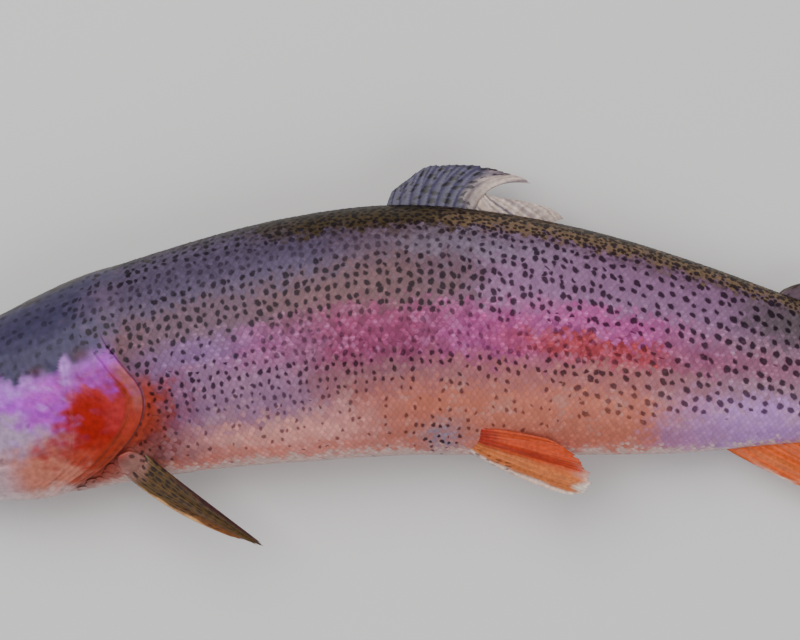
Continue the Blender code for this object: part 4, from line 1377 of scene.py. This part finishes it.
def scale_roots(side, start, end, draw):
    """Row and place of every scale of one side from start to end, each odd row half a step along."""
    first, last = np.interp((start, end), ALONG, SCALE_COUNT)
    numbers = np.arange(math.ceil(first), math.ceil(last))
    rows = np.arange(-MOST_ROWS, MOST_ROWS + 1)
    row, number = (grid.ravel() for grid in np.meshgrid(rows, numbers, indexing="ij"))
    shift = draw.uniform(-0.07, 0.07, row.size)
    s = np.interp(number + 0.5 * (row % 2) + shift, SCALE_COUNT, ALONG)
    arc = row_arc(s, row, side)
    turn = turn_at(s, arc)
    bare = ripple(s, arc, 0 * s, 7, 41)
    keep = (arc * side > 0) & (np.abs(turn) < 179.5) & (past_gill(s, height_angle(turn)) > 2.2 + 0.8 * bare)
    keep &= (s > SCALES_FROM) & (s < SCALES_TO - 1.5 * np.sin(np.radians(turn)) ** 2)
    keep &= (s > 91.5) | (height_angle(turn) < 0)
    return s[keep], row[keep]


print("a row runs through", round(float(SCALE_COUNT[-1])), "steps along the centre line")

# %% [markdown]
# Each scale has a small patch on the bake map, at the place of its root on the unrolled skin. Each also takes
# its colour from a little way off, as the edge of a stain on a live fish goes scale by scale.

# %% Placing the scales
PAINT_ASTRAY = np.array([1.8, 1.2])[:, None, None]  # how far off each scale takes its colour from
UV_PATCH = 0.003  # the width of a scale's patch on the map
MAP_MARGIN = 0.02  # the map's margin at the snout and the tail
MAP_HALF = 0.46  # half the height that the unrolled skin takes up
GIRTH_HALF = 112.0  # a little over half the way round the body
SHARP_EDGE = math.radians(50)


def add_bake_map(piece, places):
    """A map named OFBake that gives every corner of a face the place kept for its vertex."""
    corner = np.empty(len(piece.data.loops), np.int32)
    piece.data.loops.foreach_get("vertex_index", corner)
    layer = piece.data.uv_layers.new(name="OFBake")
    layer.data.foreach_set("uv", places[corner].astype(np.float32).ravel())


def place_scales(name, side, s, row, draw, template, finish):
    """One mesh of scales: the template stretched to each root's step, bent along its row, and lifted."""
    x, y, lift, faces, under = template
    step = np.interp(s, SCALE_PLACES, SCALE_STEPS)[:, None] * draw.uniform(0.94, 1.05, (len(s), 1))
    s_all = s[:, None] + SCALE_LENGTH * step * x
    twist = draw.uniform(-0.10, 0.10, (len(s), 1))
    arc = row_arc(s_all, row[:, None], side) + side * step * (SCALE_WIDTH * y + twist * (x - 0.3))
    tilt = draw.uniform(-0.035, 0.035, (len(s), 1))
    raised = lift + (0.04 * draw.uniform(-1, 1, (len(s), 1)) * x) + tilt * y
    turn = turn_at(s_all, arc)
    h, t = ring(s_all, turn, raised)
    offset = (np.arange(len(s)) * len(x))[:, None, None]
    every = [(faces + offset).reshape(-1, 3), (under + offset).reshape(-1, RIM_POINTS)]
    paint_on = body_attributes(s_all, turn)
    astray = draw.normal(0, 1, (2, len(s), 1)) * PAINT_ASTRAY
    astray = astray * soft(2, 14, past_gill(s_all, height_angle(turn)))
    paint_on["ground"] = opaque(ground_colour(s_all + astray[0], turn_at(s_all + astray[0], arc + astray[1])))
    # chance sets each scale's tone and the strength of its painted glint, which is stronger near mid side
    chance = np.repeat(draw.random((len(s), 1)), len(x), axis=1) * (0.62 + 0.38 * window(h, -10, 12, 5))
    paint_on["tile"] = np.stack([x + 0 * s_all, y + 0 * s_all, chance], -1)
    coat = make_mesh(name, placed(s_all, h, t, SKIN_FLOOR - raised), every, paint_on)
    coat.data.set_sharp_from_angle(angle=SHARP_EDGE)
    u = MAP_MARGIN + (1 - 2 * MAP_MARGIN) * s[:, None] / BODY_END + UV_PATCH * (x - 0.5)
    v = 0.5 + MAP_HALF * row_arc(s, row, side)[:, None] / GIRTH_HALF + UV_PATCH / 2 * y
    add_bake_map(coat, np.stack([u, v], -1).reshape(-1, 2))
    return finish_piece(coat, finish, "flank_skin")


print("each scale's patch is", UV_PATCH, "of the map across")

# %% [markdown]
# The scales' finish is the skin's, with what only a scale does: a painted glint, a pale spot in the middle of
# its free part that stands for a highlight, painted shade at its root where it comes out from under its
# neighbours, a darker edge, and a tone of its own. Chance sets the tone and the strength of the painted
# glint, so that a side of silver breaks up into points of painted light.

# %% The finish of the scales
def make_scale_material():
    """Wet scales: the painted ground with painted shade at each root, a painted glint, a tone by chance, and
    the spots.
    """
    made, tree, shader = new_material(
        "trout_scales", Roughness=0.42, Metallic=0.20, Coat_Weight=0.04, Coat_Roughness=0.15,
        Specular_IOR_Level=0.12)
    x, y, chance = node(tree, "ShaderNodeSeparateXYZ", None, Vector=attribute(tree, "tile")).outputs
    across = maths(tree, "MULTIPLY", y, y)
    along = maths(tree, "MULTIPLY_ADD", x, 2.2, -1.72)
    away = maths(tree, "ADD", maths(tree, "MULTIPLY", across, 3.2), maths(tree, "MULTIPLY", along, along))
    # painted highlight: a pale spot in the middle of each scale's free part, strong only where chance is high
    painted_glint = step_between(tree, away, 0.0, 0.36, 1.0, 0.0)
    painted_glint = maths(tree, "MULTIPLY", painted_glint, maths(tree, "POWER", chance, 2.5))
    # painted shade: each scale is darker at its root, where its neighbours lie over it
    painted_root_shade = step_between(tree, x, 0.2, 0.62, 0.80, 1.0)
    light = maths(tree, "ADD", painted_root_shade, maths(tree, "MULTIPLY", painted_glint, 0.5))
    to_edge = maths(tree, "ADD", x, maths(tree, "MULTIPLY", across, 0.25))
    light = maths(tree, "MULTIPLY", light, step_between(tree, to_edge, 0.9, 1.0, 1.0, 0.84))
    light = maths(tree, "MULTIPLY", light, maths(tree, "MULTIPLY_ADD", chance, 0.34, 0.88))
    colour = spotted(tree, shaded(tree, attribute(tree, "ground", "Color"), light))
    tree.links.new(colour, shader.inputs["Base Color"])
    place = node(tree, "ShaderNodeTexCoord").outputs["Object"]
    add_bump(tree, shader, noise(tree, place, 1900.0, 2.0), 0.0001, 0.3)
    return made


SCALE_FINISH = make_scale_material()
TEMPLATE = scale_template()
COAT_SPLIT = 196.0
COAT_PARTS = (("front", SCALES_FROM, COAT_SPLIT), ("rear", COAT_SPLIT, SCALES_TO))
DRAW_SCALES = np.random.default_rng(11)
scale_total = 0
for label, sign in (("left", 1), ("right", -1)):
    for part, start, end in COAT_PARTS:
        roots = scale_roots(sign, start, end, DRAW_SCALES)
        place_scales(f"scales_{label}_{part}", sign, *roots, DRAW_SCALES, TEMPLATE, SCALE_FINISH)
        scale_total += len(roots[0])
print(scale_total, "scales of", len(TEMPLATE[3]) + RIM_POINTS - 2, "triangles")

# %% [markdown]
# ## Fins
#
# A fin is a fan of bony rays with a thin skin between them. Each ray rises as a ridge on both sides, is
# jointed across, and forks before the edge, which is notched between the rays. A plane with a ray texture
# would look flat from the side, so each fin is a closed sheet: the frame's own rays give its shape,
# and the ridges are added to its thickness. The fleshy adipose fin has no rays.

# %% Fin shapes
# each row is a ray: share of the root, the tip's s, h and t, and how far its middle bows
DORSAL_RAYS = (
    (0.00, 188.1, 47.5, 0.0, 0.3), (0.08, 191.5, 50.4, -0.2, 0.6), (0.15, 197.5, 55.2, -0.5, 0.9),
    (0.23, 203.0, 56.4, -0.8, 1.5), (0.31, 209.0, 56.4, -1.0, 2.2), (0.38, 215.0, 56.2, -1.2, 3.0),
    (0.44, 220.3, 54.9, -1.4, 4.2), (0.50, 226.0, 53.4, -1.5, 5.0), (0.54, 231.0, 50.8, -1.6, 5.8),
    (0.58, 224.5, 51.6, -1.5, 5.0), (0.62, 217.5, 50.4, -1.2, 3.0), (0.67, 216.0, 47.2, -0.8, 0.6),
    (0.74, 222.5, 45.6, -0.6, 0.8), (0.82, 230.0, 44.6, -0.5, 1.2), (0.90, 237.0, 42.8, -0.4, 1.4),
    (1.00, 241.5, 39.8, -0.3, 1.0))
ADIPOSE_RAYS = (
    (0.00, 317.5, 25.9, 0.0, 0.3), (0.15, 321.0, 28.0, 0.0, 0.6), (0.30, 326.0, 29.9, -0.2, 1.0),
    (0.50, 331.5, 30.8, -0.4, 1.4), (0.70, 336.5, 30.0, -0.5, 1.6), (0.85, 338.3, 28.2, -0.5, 1.6),
    (1.00, 335.5, 26.2, -0.3, 1.4))
ANAL_RAYS = (
    (0.00, 341.0, -42.4, 1.0, -0.9), (0.06, 345.0, -43.2, 1.2, -1.0), (0.13, 348.5, -42.4, 1.4, -1.0),
    (0.22, 350.0, -40.2, 1.4, -0.9), (0.33, 350.2, -37.3, 1.3, -0.8), (0.45, 350.4, -34.6, 1.1, -0.7),
    (0.58, 351.0, -32.0, 0.9, -0.6), (0.71, 352.0, -29.4, 0.7, -0.5), (0.85, 353.4, -26.8, 0.5, -0.4),
    (1.00, 355.0, -24.0, 0.3, -0.3))
TAIL_RAYS = (
    (0.00, 437.0, 46.0, 0.0, 1.4), (0.05, 445.0, 49.2, 0.0, 1.5), (0.11, 448.5, 48.2, 0.0, 1.4),
    (0.19, 449.0, 44.6, 0.0, 1.2), (0.29, 447.4, 39.2, 0.0, 1.0), (0.40, 445.0, 32.6, 0.0, 0.8),
    (0.52, 442.2, 25.6, 0.0, 0.6), (0.64, 439.6, 18.8, 0.0, 0.4), (0.76, 437.6, 12.4, 0.0, 0.3),
    (0.88, 436.2, 6.4, 0.0, 0.1), (1.00, 435.4, -0.2, 0.0, 0.0))
LOWER_TAIL_RAYS = tuple((share, s, -h, t, -bow) for share, s, h, t, bow in TAIL_RAYS)
LEFT_PECTORAL_RAYS = (
    (0.00, 127.1, -65.2, 9.0, -1.0), (0.12, 127.9, -66.1, 8.6, -1.2), (0.28, 128.1, -66.9, 8.2, -1.5),
    (0.46, 126.8, -66.3, 7.8, -1.8), (0.64, 124.2, -65.0, 7.4, -2.0), (0.82, 120.5, -63.2, 7.0, -2.2),
    (1.00, 115.7, -60.6, 6.6, -2.4))
RIGHT_PECTORAL_RAYS = (
    (0.00, 150.0, -27.0, -23.0, 0.6), (0.15, 153.0, -29.0, -23.0, 0.5), (0.32, 153.0, -31.5, -23.0, 0.3),
    (0.50, 150.0, -33.5, -23.0, 0.1), (0.68, 145.0, -35.3, -23.0, 0.0), (0.84, 139.0, -36.3, -23.0, -0.2),
    (1.00, 132.0, -36.5, -23.0, -0.4))
LEFT_PELVIC_RAYS = (
    (0.00, 243.5, -35.4, 15.2, 0.6), (0.16, 250.0, -38.4, 14.4, 0.4), (0.32, 255.4, -42.0, 13.2, 0.2),
    (0.48, 258.8, -45.6, 12.0, -0.2), (0.64, 260.4, -49.0, 11.0, -0.7), (0.78, 259.4, -51.8, 10.2, -1.2),
    (0.90, 256.2, -53.4, 9.6, -1.6), (1.00, 251.0, -53.5, 9.2, -1.9))
RIGHT_PELVIC_RAYS = (
    (0.00, 244.0, -31.5, -18.6, 0.4), (0.18, 250.5, -33.4, -19.4, 0.2), (0.36, 254.4, -35.6, -20.2, 0.0),
    (0.54, 256.0, -37.8, -20.8, -0.2), (0.70, 255.2, -39.8, -21.0, -0.5), (0.86, 252.0, -41.2, -21.0, -0.8),
    (1.00, 246.5, -41.6, -20.6, -1.0))
# name, kind, feet of the first and last ray, rays, tilt, thickness at root and edge, ray count, pleats
FINS = (
    ("dorsal_fin", "dorsal", ((185.5, 39, 0), (234, 34, 0)),
     DORSAL_RAYS, 0, (3.4, 0.7), 18, 0.0),
    ("adipose_fin", "adipose", ((313, 20, 0), (328, 18, 0)),
     ADIPOSE_RAYS, 0, (3.6, 1.6), 0, 0.0),
    ("anal_fin", "anal", ((299.5, -29, 0), (340, -18.5, 0)),
     ANAL_RAYS, 0, (3.8, 0.8), 12, 0.5),
    ("caudal_fin_upper", "tail", ((392, 18.6, 0), (398, -0.2, 0)),
     TAIL_RAYS, 0, (4.2, 0.9), 12, 0.2),
    ("caudal_fin_lower", "tail", ((392, -18.6, 0), (398, 0.2, 0)),
     LOWER_TAIL_RAYS, 0, (4.2, 0.9), 12, 0.2),
    ("pectoral_fin_left", "pectoral", ((93, -24.2, 16.2), (84.5, -30.6, 9.8)),
     LEFT_PECTORAL_RAYS, 14, (4.6, 0.9), 11, 0.5),
    ("pectoral_fin_right", "pectoral", ((95, -23, -14), (89, -29, -11)),
     RIGHT_PECTORAL_RAYS, 10, (3.2, 0.8), 13, 0.3),
    ("pelvic_fin_left", "pelvic", ((215, -32.8, 16.2), (211.5, -40.3, 8.6)),
     LEFT_PELVIC_RAYS, 12, (3.8, 0.8), 10, 0.6),
    ("pelvic_fin_right", "pelvic", ((215, -33.5, -12.5), (212, -40, -8)),
     RIGHT_PELVIC_RAYS, 14, (3.4, 0.8), 10, 0.2))
print(len(FINS), "fins, shaped by", sum(len(fin[3]) for fin in FINS), "rays of the frame")

# %% [markdown]
# A fin's two faces are its middle sheet, moved out by half its thickness either way. The middle of
# each column is a curve from its foot to its tip. A ray is a bell across the columns, and it splits in
# two towards the edge, as real rays do.

# %% Fin sheets
LEAST_FIN = 0.55
FIN_FILL = 0.72  # how much of the frame's thickness the sheet takes up, so that ridges have room
FOOT_SUNK = 2.6  # a paired fin's foot dips this far into the flank
FIN_FLOOR = 0.25  # no fin comes nearer to the floor than this
RIDGE, FORK_FROM = 0.13, 0.45  # how high a ray stands out, and where it forks
FRAY, TEAR = 0.018, 0.03  # how deep the edge is notched between rays, and torn at random
FIN_ROWS, FIN_REACH = 96, 0.994
COLUMNS_PER_RAY, LEAST_RAYS = 8, 6
PLEATS = 2.6  # waves across a fin


def fin_plan(root, rays, columns):
    """For each column: its foot, the point that its curve bends towards, and its tip."""
    rays = np.array(rays)
    u = np.linspace(0, 1, columns)
    tips = np.stack([curve_through(rays[:, 0], rays[:, k], u) for k in (1, 2, 3)], -1)
    bow = curve_through(rays[:, 0], rays[:, 4], u)
    first, last = (np.array(foot, float) for foot in root)
    feet = first + (last - first) * u[:, None]
    run = tips - feet
    side = np.stack([-run[:, 1], run[:, 0], 0 * run[:, 0]], -1) / np.hypot(run[:, 0], run[:, 1])[:, None]
    return feet, (feet + tips) / 2 + 2 * bow[:, None] * side, tips


def fin_ridges(u, v, count):
    """How much each place belongs to a ray: a bell across each, in two halves past the fork."""
    across = (u * count) % 1 - 0.5
    fork = 0.24 * soft(FORK_FROM, 0.95, v) * soft(0.0, 0.12, u) * soft(1.0, 0.9, u)
    narrow = 0.20 - 0.09 * v
    return np.maximum(fold(across - fork, narrow), fold(across + fork, narrow)) * (1 if count else 0)


def fin_reach(u, edge_ridge, count, seed):
    """How far each column reaches: notched between the rays, and torn a little at random."""
    rag = ripple(u * count * 1.7, 0 * u, 0 * u, 2.0, seed)
    rag = rag + 0.5 * ripple(u * count * 6, 0 * u, 0 * u, 2.0, seed + 1)
    return FIN_REACH * (1 - FRAY * (1 - edge_ridge) - TEAR * np.clip(rag, 0, 1) * (1 if count else 0.1))


def fin_half(u, v, thickness):
    """Half the thickness: it falls from root to edge, and towards the first and last rays."""
    to_side = np.abs(2 * u - 1)
    half = (thickness[0] + (thickness[1] - thickness[0]) * v**0.6) * (1 - 0.45 * to_side**6) / 2
    half = np.maximum(half, LEAST_FIN / 2) * FIN_FILL
    return half * (1 - 0.5 * soft(0.93, 1.0, v)) * (1 - 0.6 * to_side**20)


def fin_sheets(root, rays, tilt, thickness, count, pleat, seed):
    """Both faces of a fin in fish coordinates, how far across and along each place is, ridges, lengths."""
    columns = max(count, LEAST_RAYS) * COLUMNS_PER_RAY + 1
    u = np.linspace(0, 1, columns)[None, :]
    v = np.linspace(0, 1, FIN_ROWS)[:, None]
    feet, bend, tips = fin_plan(root, rays, columns)
    ridge = fin_ridges(u, v, count)
    w = (v * fin_reach(u, ridge[-1:], count, seed))[..., None]
    middle = feet * (1 - w) ** 2 + 2 * bend * w * (1 - w) + tips * w**2
    out = np.array([0, -math.sin(math.radians(tilt)), math.cos(math.radians(tilt))])
    pleats = pleat * soft(0.05, 0.6, v) * np.sin(2 * math.pi * (PLEATS * u + 0.35 * v + 0.3 * seed))
    sunk = FOOT_SUNK * soft(0.13, 0.0, v) ** 1.5 * (1 if tilt else 0)
    middle = middle + (pleats - sunk)[..., None] * out
    thick = fin_half(u, v, thickness) + RIDGE * ridge * soft(0.02, 0.25, v) * soft(1.0, 0.9, v)
    low = FIN_FLOOR + thick - height_of_centre(middle[..., 0])
    middle[..., 2] = np.maximum(middle[..., 2], low)
    thick = thick[..., None] * out
    return middle + thick, middle - thick, u + 0 * v, v + 0 * u, ridge, np.linalg.norm(tips - feet, axis=-1)


print("fins are at least", LEAST_FIN, "mm thick before they are filled")

# %% [markdown]
# Each fin has its own paint, built of washes as the body's is. All paints are given the same five
# values, and take what they need: u across the fin, v along its rays, a wide wave, fine streaks and the
# ridges of the rays. They give a colour, and the share of spots. The dorsal fin is blue grey with rows
# of dark dashes, and worn to cream strands behind. The adipose fin is bronze, the tail spotted all over.

# %% Paints of the fins on the back and the tail
FIN_GREY = paint(0.060, 0.050, 0.110)
FIN_CREAM = paint(0.80, 0.60, 0.50)
FIN_TAIL = paint(0.164, 0.118, 0.154)
PECTORAL_DARK = paint(0.054, 0.012, 0.012)


def dorsal_paint(u, v, wave, streak, ridge):
    """Blue grey with a darker edge, and worn to shaded cream strands behind, where the spots end."""
    worn = soft(0.455, 0.545, u + 0.05 * v + 0.02 * wave) * soft(0.05, 0.30, v)
    colour = laid(
        all_over(FIN_GREY, u),
        (FIN_TAIL, 0.35 * soft(0.3, 0.0, v)),
        (FIN_CREAM, worn * (0.72 + 0.28 * streak)))
    shade = 1 - 0.45 * worn * soft(0.75, 0.2, v) * soft(0.30, 0.1, np.abs(u - 0.62))
    shade = shade * (1 - 0.35 * soft(0.93, 1.0, v) * (1 - worn))
    return colour * shade[..., None], (1 - soft(0.3, 0.8, worn)) * soft(0.0, 0.06, v)


def adipose_paint(u, v, wave, streak, ridge):
    """Bronze, and olive along the top and the front."""
    colour = laid(
        all_over(BRONZE, u),
        (OLIVE_SHADE, soft(0.5, 0.95, v) * 0.8),
        (OLIVE_SHADE, soft(0.2, 0.0, u) * 0.7))
    return colour, 0.5 + 0 * u


def tail_paint(u, v, wave, streak, ridge):
    """Grey with paler rays, clouded with olive, and dark along the edge and the outer ray."""
    colour = laid(all_over(FIN_TAIL, u), (TAIL_GREY, soft(0.3, 0.0, v)))
    colour = laid(
        colour * (0.88 + 0.22 * ridge)[..., None],
        (OLIVE_BACK, 0.35 * soft(0.0, 0.8, wave)),
        (PECTORAL_DARK, 0.55 * soft(0.9, 1.0, v) + 0.45 * soft(0.10, 0.0, u)))
    return colour, 0.9 * soft(0.02, 0.1, v)


print("a worn dorsal fin shows", FIN_CREAM)

# %% [markdown]
# The pectoral fin is olive, dark along one edge and cream along the other. The anal fin is orange with a
# white leading edge. The pelvic fin is orange too, with a white tip and rear edge and a few spots.

# %% Paints of the fins below
PECTORAL_OLIVE = paint(0.110, 0.056, 0.015)
PECTORAL_CREAM = paint(0.70, 0.36, 0.14)
ORANGE = paint(0.607, 0.060, 0.006)
DEEP_ORANGE = paint(0.395, 0.020, 0.004)
ORANGE_TAN = paint(0.60, 0.150, 0.035)
FIN_WHITE = paint(0.85, 0.68, 0.58)
ANAL_ORANGE = paint(0.72, 0.100, 0.008)
ANAL_ROOT = paint(0.34, 0.020, 0.010)


def pectoral_paint(u, v, wave, streak, ridge):
    """Olive, dark along the leading edge, tan towards the tip, cream behind, and pale at the root."""
    colour = laid(
        all_over(PECTORAL_OLIVE, u),
        (PECTORAL_DARK, soft(0.26, 0.05, u + 0.04 * wave) * soft(0.2, 0.4, v)),
        (ORANGE_TAN, 0.28 * soft(0.5, 0.8, u) * soft(0.35, 0.9, v)),
        (PECTORAL_CREAM, soft(0.88, 0.97, u + 0.03 * wave) * soft(0.1, 0.3, v)),
        (PECTORAL_BASE, soft(0.18, 0.07, v + 0.02 * wave) * soft(0.0, 0.3, u)))
    return colour, 0.9 * soft(0.94, 0.8, u) * soft(0.95, 0.75, v)


def anal_paint(u, v, wave, streak, ridge):
    """Orange with tan streaks, deep red at the root, and a white leading edge. It has no spots."""
    colour = laid(
        all_over(ANAL_ORANGE, u),
        (ORANGE_TAN, 0.6 * soft(0.1, 0.9, streak)),
        (ANAL_ROOT, soft(0.22, 0.02, v + 0.03 * wave) * 0.9),
        (FIN_WHITE, soft(0.10, 0.03, u + 0.02 * wave) * soft(0.3, 0.7, v)))
    return colour, 0 * u


def pelvic_paint(u, v, wave, streak, ridge):
    """Orange with a deep band down the middle, tan and white behind, and a white tip."""
    colour = laid(
        all_over(ORANGE, u),
        (DEEP_ORANGE, soft(0.35, 0.1, v) * soft(0.9, 0.6, u)),
        (DEEP_ORANGE, 0.9 * lump(u, v, 0.45, 0.5, 0.07, 0.45)),
        (ORANGE_TAN, soft(0.5, 0.66, u + 0.02 * wave)),
        (FIN_WHITE, soft(0.86, 0.93, u + 0.015 * wave) * 0.75),
        (FIN_WHITE, soft(0.86, 1.0, v + 0.03 * wave) * soft(0.3, 0.75, u)))
    return colour, 0.9 * soft(0.72, 0.8, u) * soft(0.05, 0.12, v) * soft(0.48, 0.4, v)


print("the orange of the pelvic fins", ORANGE)

# %% [markdown]
# One row for each kind of fin joins its paint to its spots. They come from the same pattern as the
# body's, but each fin has its own pitch across the rays and along them, which sets how the spots run.

# %% Kinds of fin
# kind: its paint, its slot, the pitch of its spots across and along, their size and their darkness
FIN_KINDS = {
    "dorsal": (dorsal_paint, "spotted_fin", 4.6, 2.8, 0.29, 1.0),
    "adipose": (adipose_paint, "spotted_fin", 2.9, 4.2, 0.26, 0.85),
    "tail": (tail_paint, "spotted_fin", 3.6, 4.8, 0.26, 0.85),
    "pectoral": (pectoral_paint, "pectoral_fin", 2.7, 3.6, 0.30, 0.85),
    "anal": (anal_paint, "orange_fin", 2.9, 4.2, 0.26, 0.85),
    "pelvic": (pelvic_paint, "orange_fin", 2.6, 4.0, 0.24, 0.7)}
PATTERN_START = 40  # the fins' spots are read from a far part of the pattern
RAY_JOINT = 1.1  # between the joints of a ray


def fin_values(kind, u, v, ridge, across, along):
    """What the finish needs: ground colour, place in the pattern with darkness, marks, and the ray."""
    wave = ripple(across, along, 0 * u, 9, 51)
    fine = ripple(across, along, 0 * u, 2.2, 52)
    streak = ripple(across, 0.1 * along, 0 * u, 2.0, 53)
    painted, _, pitch_across, pitch_along, size, dark = FIN_KINDS[kind]
    colour, share = painted(u, v, wave, streak, ridge)
    colour = colour * (0.86 + 0.26 * ridge + 0.05 * fine)[..., None]
    place = np.stack([across / pitch_across + PATTERN_START, along / pitch_along, dark + 0 * u], -1)
    marks = np.stack([share, size + 0 * u, 0 * u], -1)
    return {"ground": opaque(colour), "spot_place": place, "marks": marks, "coarse": 0 * marks,
            "ray": np.stack([along / RAY_JOINT, ridge, u], -1)}


print("paints for", len(FIN_KINDS), "kinds of fin")

# %% [markdown]
# One finish serves all fins. Their jointed rays are too fine for the mesh: a band every millimetre along
# each ridge, as a shade and as a bump. A wet fin is smoother than the flank, so its coat is stronger.

# %% Make the fins
def make_fin_material(name, roughness):
    """A wet web: the painted ground, clouded, darker at the joints of the rays, with the spots."""
    made, tree, shader = new_material(
        name, Roughness=roughness, Coat_Weight=0.25, Coat_Roughness=0.2, Specular_IOR_Level=0.35)
    along, ridge, _ = node(tree, "ShaderNodeSeparateXYZ", None, Vector=attribute(tree, "ray")).outputs
    place = node(tree, "ShaderNodeTexCoord").outputs["Object"]
    beat = maths(tree, "MULTIPLY_ADD", noise(tree, place, 500.0), 1.4, along)
    joint = step_between(tree, maths(tree, "PINGPONG", beat, 0.5), 0.0, 0.16, 1.0, 0.0)
    joint = maths(tree, "MULTIPLY", joint, ridge)
    cloud = step_between(tree, noise(tree, place, 700.0, 3.0), 0.3, 0.7, 0.82, 1.16)
    light = maths(tree, "MULTIPLY", cloud, maths(tree, "MULTIPLY_ADD", joint, -0.22, 1.0))
    colour = spotted(tree, shaded(tree, attribute(tree, "ground", "Color"), light), 0.09)
    tree.links.new(colour, shader.inputs["Base Color"])
    add_bump(tree, shader, maths(tree, "SUBTRACT", maths(tree, "MULTIPLY", ridge, 0.6), joint), 0.00012, 0.6)
    return made


def make_fin(name, kind, shape, finish, slot, seed):
    """One closed fin: over the top face, and back under it, row by row from root to edge."""
    top, under, u, v, ridge, length = fin_sheets(*shape, seed)
    edge_step = np.linalg.norm(np.diff(top, axis=1), axis=-1)
    across = np.concatenate([np.zeros((len(v), 1)), np.cumsum(edge_step, axis=1)], axis=1)
    across = across - across[:, across.shape[1] // 2][:, None]
    values = fin_values(kind, u, v, ridge, across, v * length)
    values = {key: np.concatenate([value, value[:, ::-1]], axis=1) for key, value in values.items()}
    loops = placed(*np.moveaxis(np.concatenate([top, under[:, ::-1]], axis=1), -1, 0))
    fin = closed_tube(name + "_blade", loops, values, flat_ends=True)
    return finish_piece(fin, finish, slot, name)


FIN_FINISHES = {
    "spotted_fin": make_fin_material("fin_spotted", 0.42),
    "pectoral_fin": make_fin_material("fin_olive", 0.45),
    "orange_fin": make_fin_material("fin_orange", 0.38)}
for number, (name, kind, *shape) in enumerate(FINS):
    fin_slot = FIN_KINDS[kind][1]
    blade = make_fin(name, kind, shape, FIN_FINISHES[fin_slot], fin_slot, number)
    print(name, len(blade.data.polygons), "faces")

# %% [markdown]
# ## Floor and light
#
# The fish lies on a plain pale floor under soft studio light: one broad lamp above its head and back,
# a weaker one from the belly side, and pale air all round that fills the shadows.

# %% Stage
FLOOR_HALF = 2.0
LAMPS = (
    ("key", (-0.45, 0.55, 1.25), 1.1, 16.0, (1.0, 0.98, 0.96)),
    ("fill", (0.55, -0.65, 1.0), 1.0, 5.5, (0.96, 0.97, 1.0)))
SKY_STRENGTH = 0.34


def make_floor():
    """A square of floor at z = 0, with the faintest clouding."""
    corners = np.array([(-1, -1, 0), (1, -1, 0), (1, 1, 0), (-1, 1, 0)], float) * FLOOR_HALF
    mesh = bpy.data.meshes.new("floor")
    mesh.from_pydata(corners.tolist(), [], [(0, 1, 2, 3)])
    floor = bpy.data.objects.new("floor", mesh)
    bpy.context.scene.collection.objects.link(floor)
    made, tree, shader = new_material("floor", Roughness=0.9)
    place = node(tree, "ShaderNodeTexCoord").outputs["Object"]
    cloud = noise(tree, place, 6.0)
    colour = blend_colour(tree, cloud, (0.80, 0.79, 0.78, 1), (0.84, 0.83, 0.82, 1))
    tree.links.new(colour, shader.inputs["Base Color"])
    mesh.materials.append(made)


def make_lamp(name, place, size, power, colour):
    """A square lamp of the given size, aimed at the fish."""
    data = bpy.data.lights.new(name, "AREA")
    data.size, data.energy, data.color = size, power, colour
    lamp = bpy.data.objects.new(name, data)
    lamp.location = place
    lamp.rotation_euler = (-Vector(place)).to_track_quat("-Z", "Y").to_euler()
    bpy.context.scene.collection.objects.link(lamp)


make_floor()
for lamp in LAMPS:
    make_lamp(*lamp)
sky = bpy.data.worlds.new("sky")
sky.use_nodes = True
sky.node_tree.nodes["Background"].inputs["Color"].default_value = (0.93, 0.95, 1.0, 1)
sky.node_tree.nodes["Background"].inputs["Strength"].default_value = SKY_STRENGTH
bpy.context.scene.world = sky
print(len(LAMPS), "lamps and a sky of strength", SKY_STRENGTH)
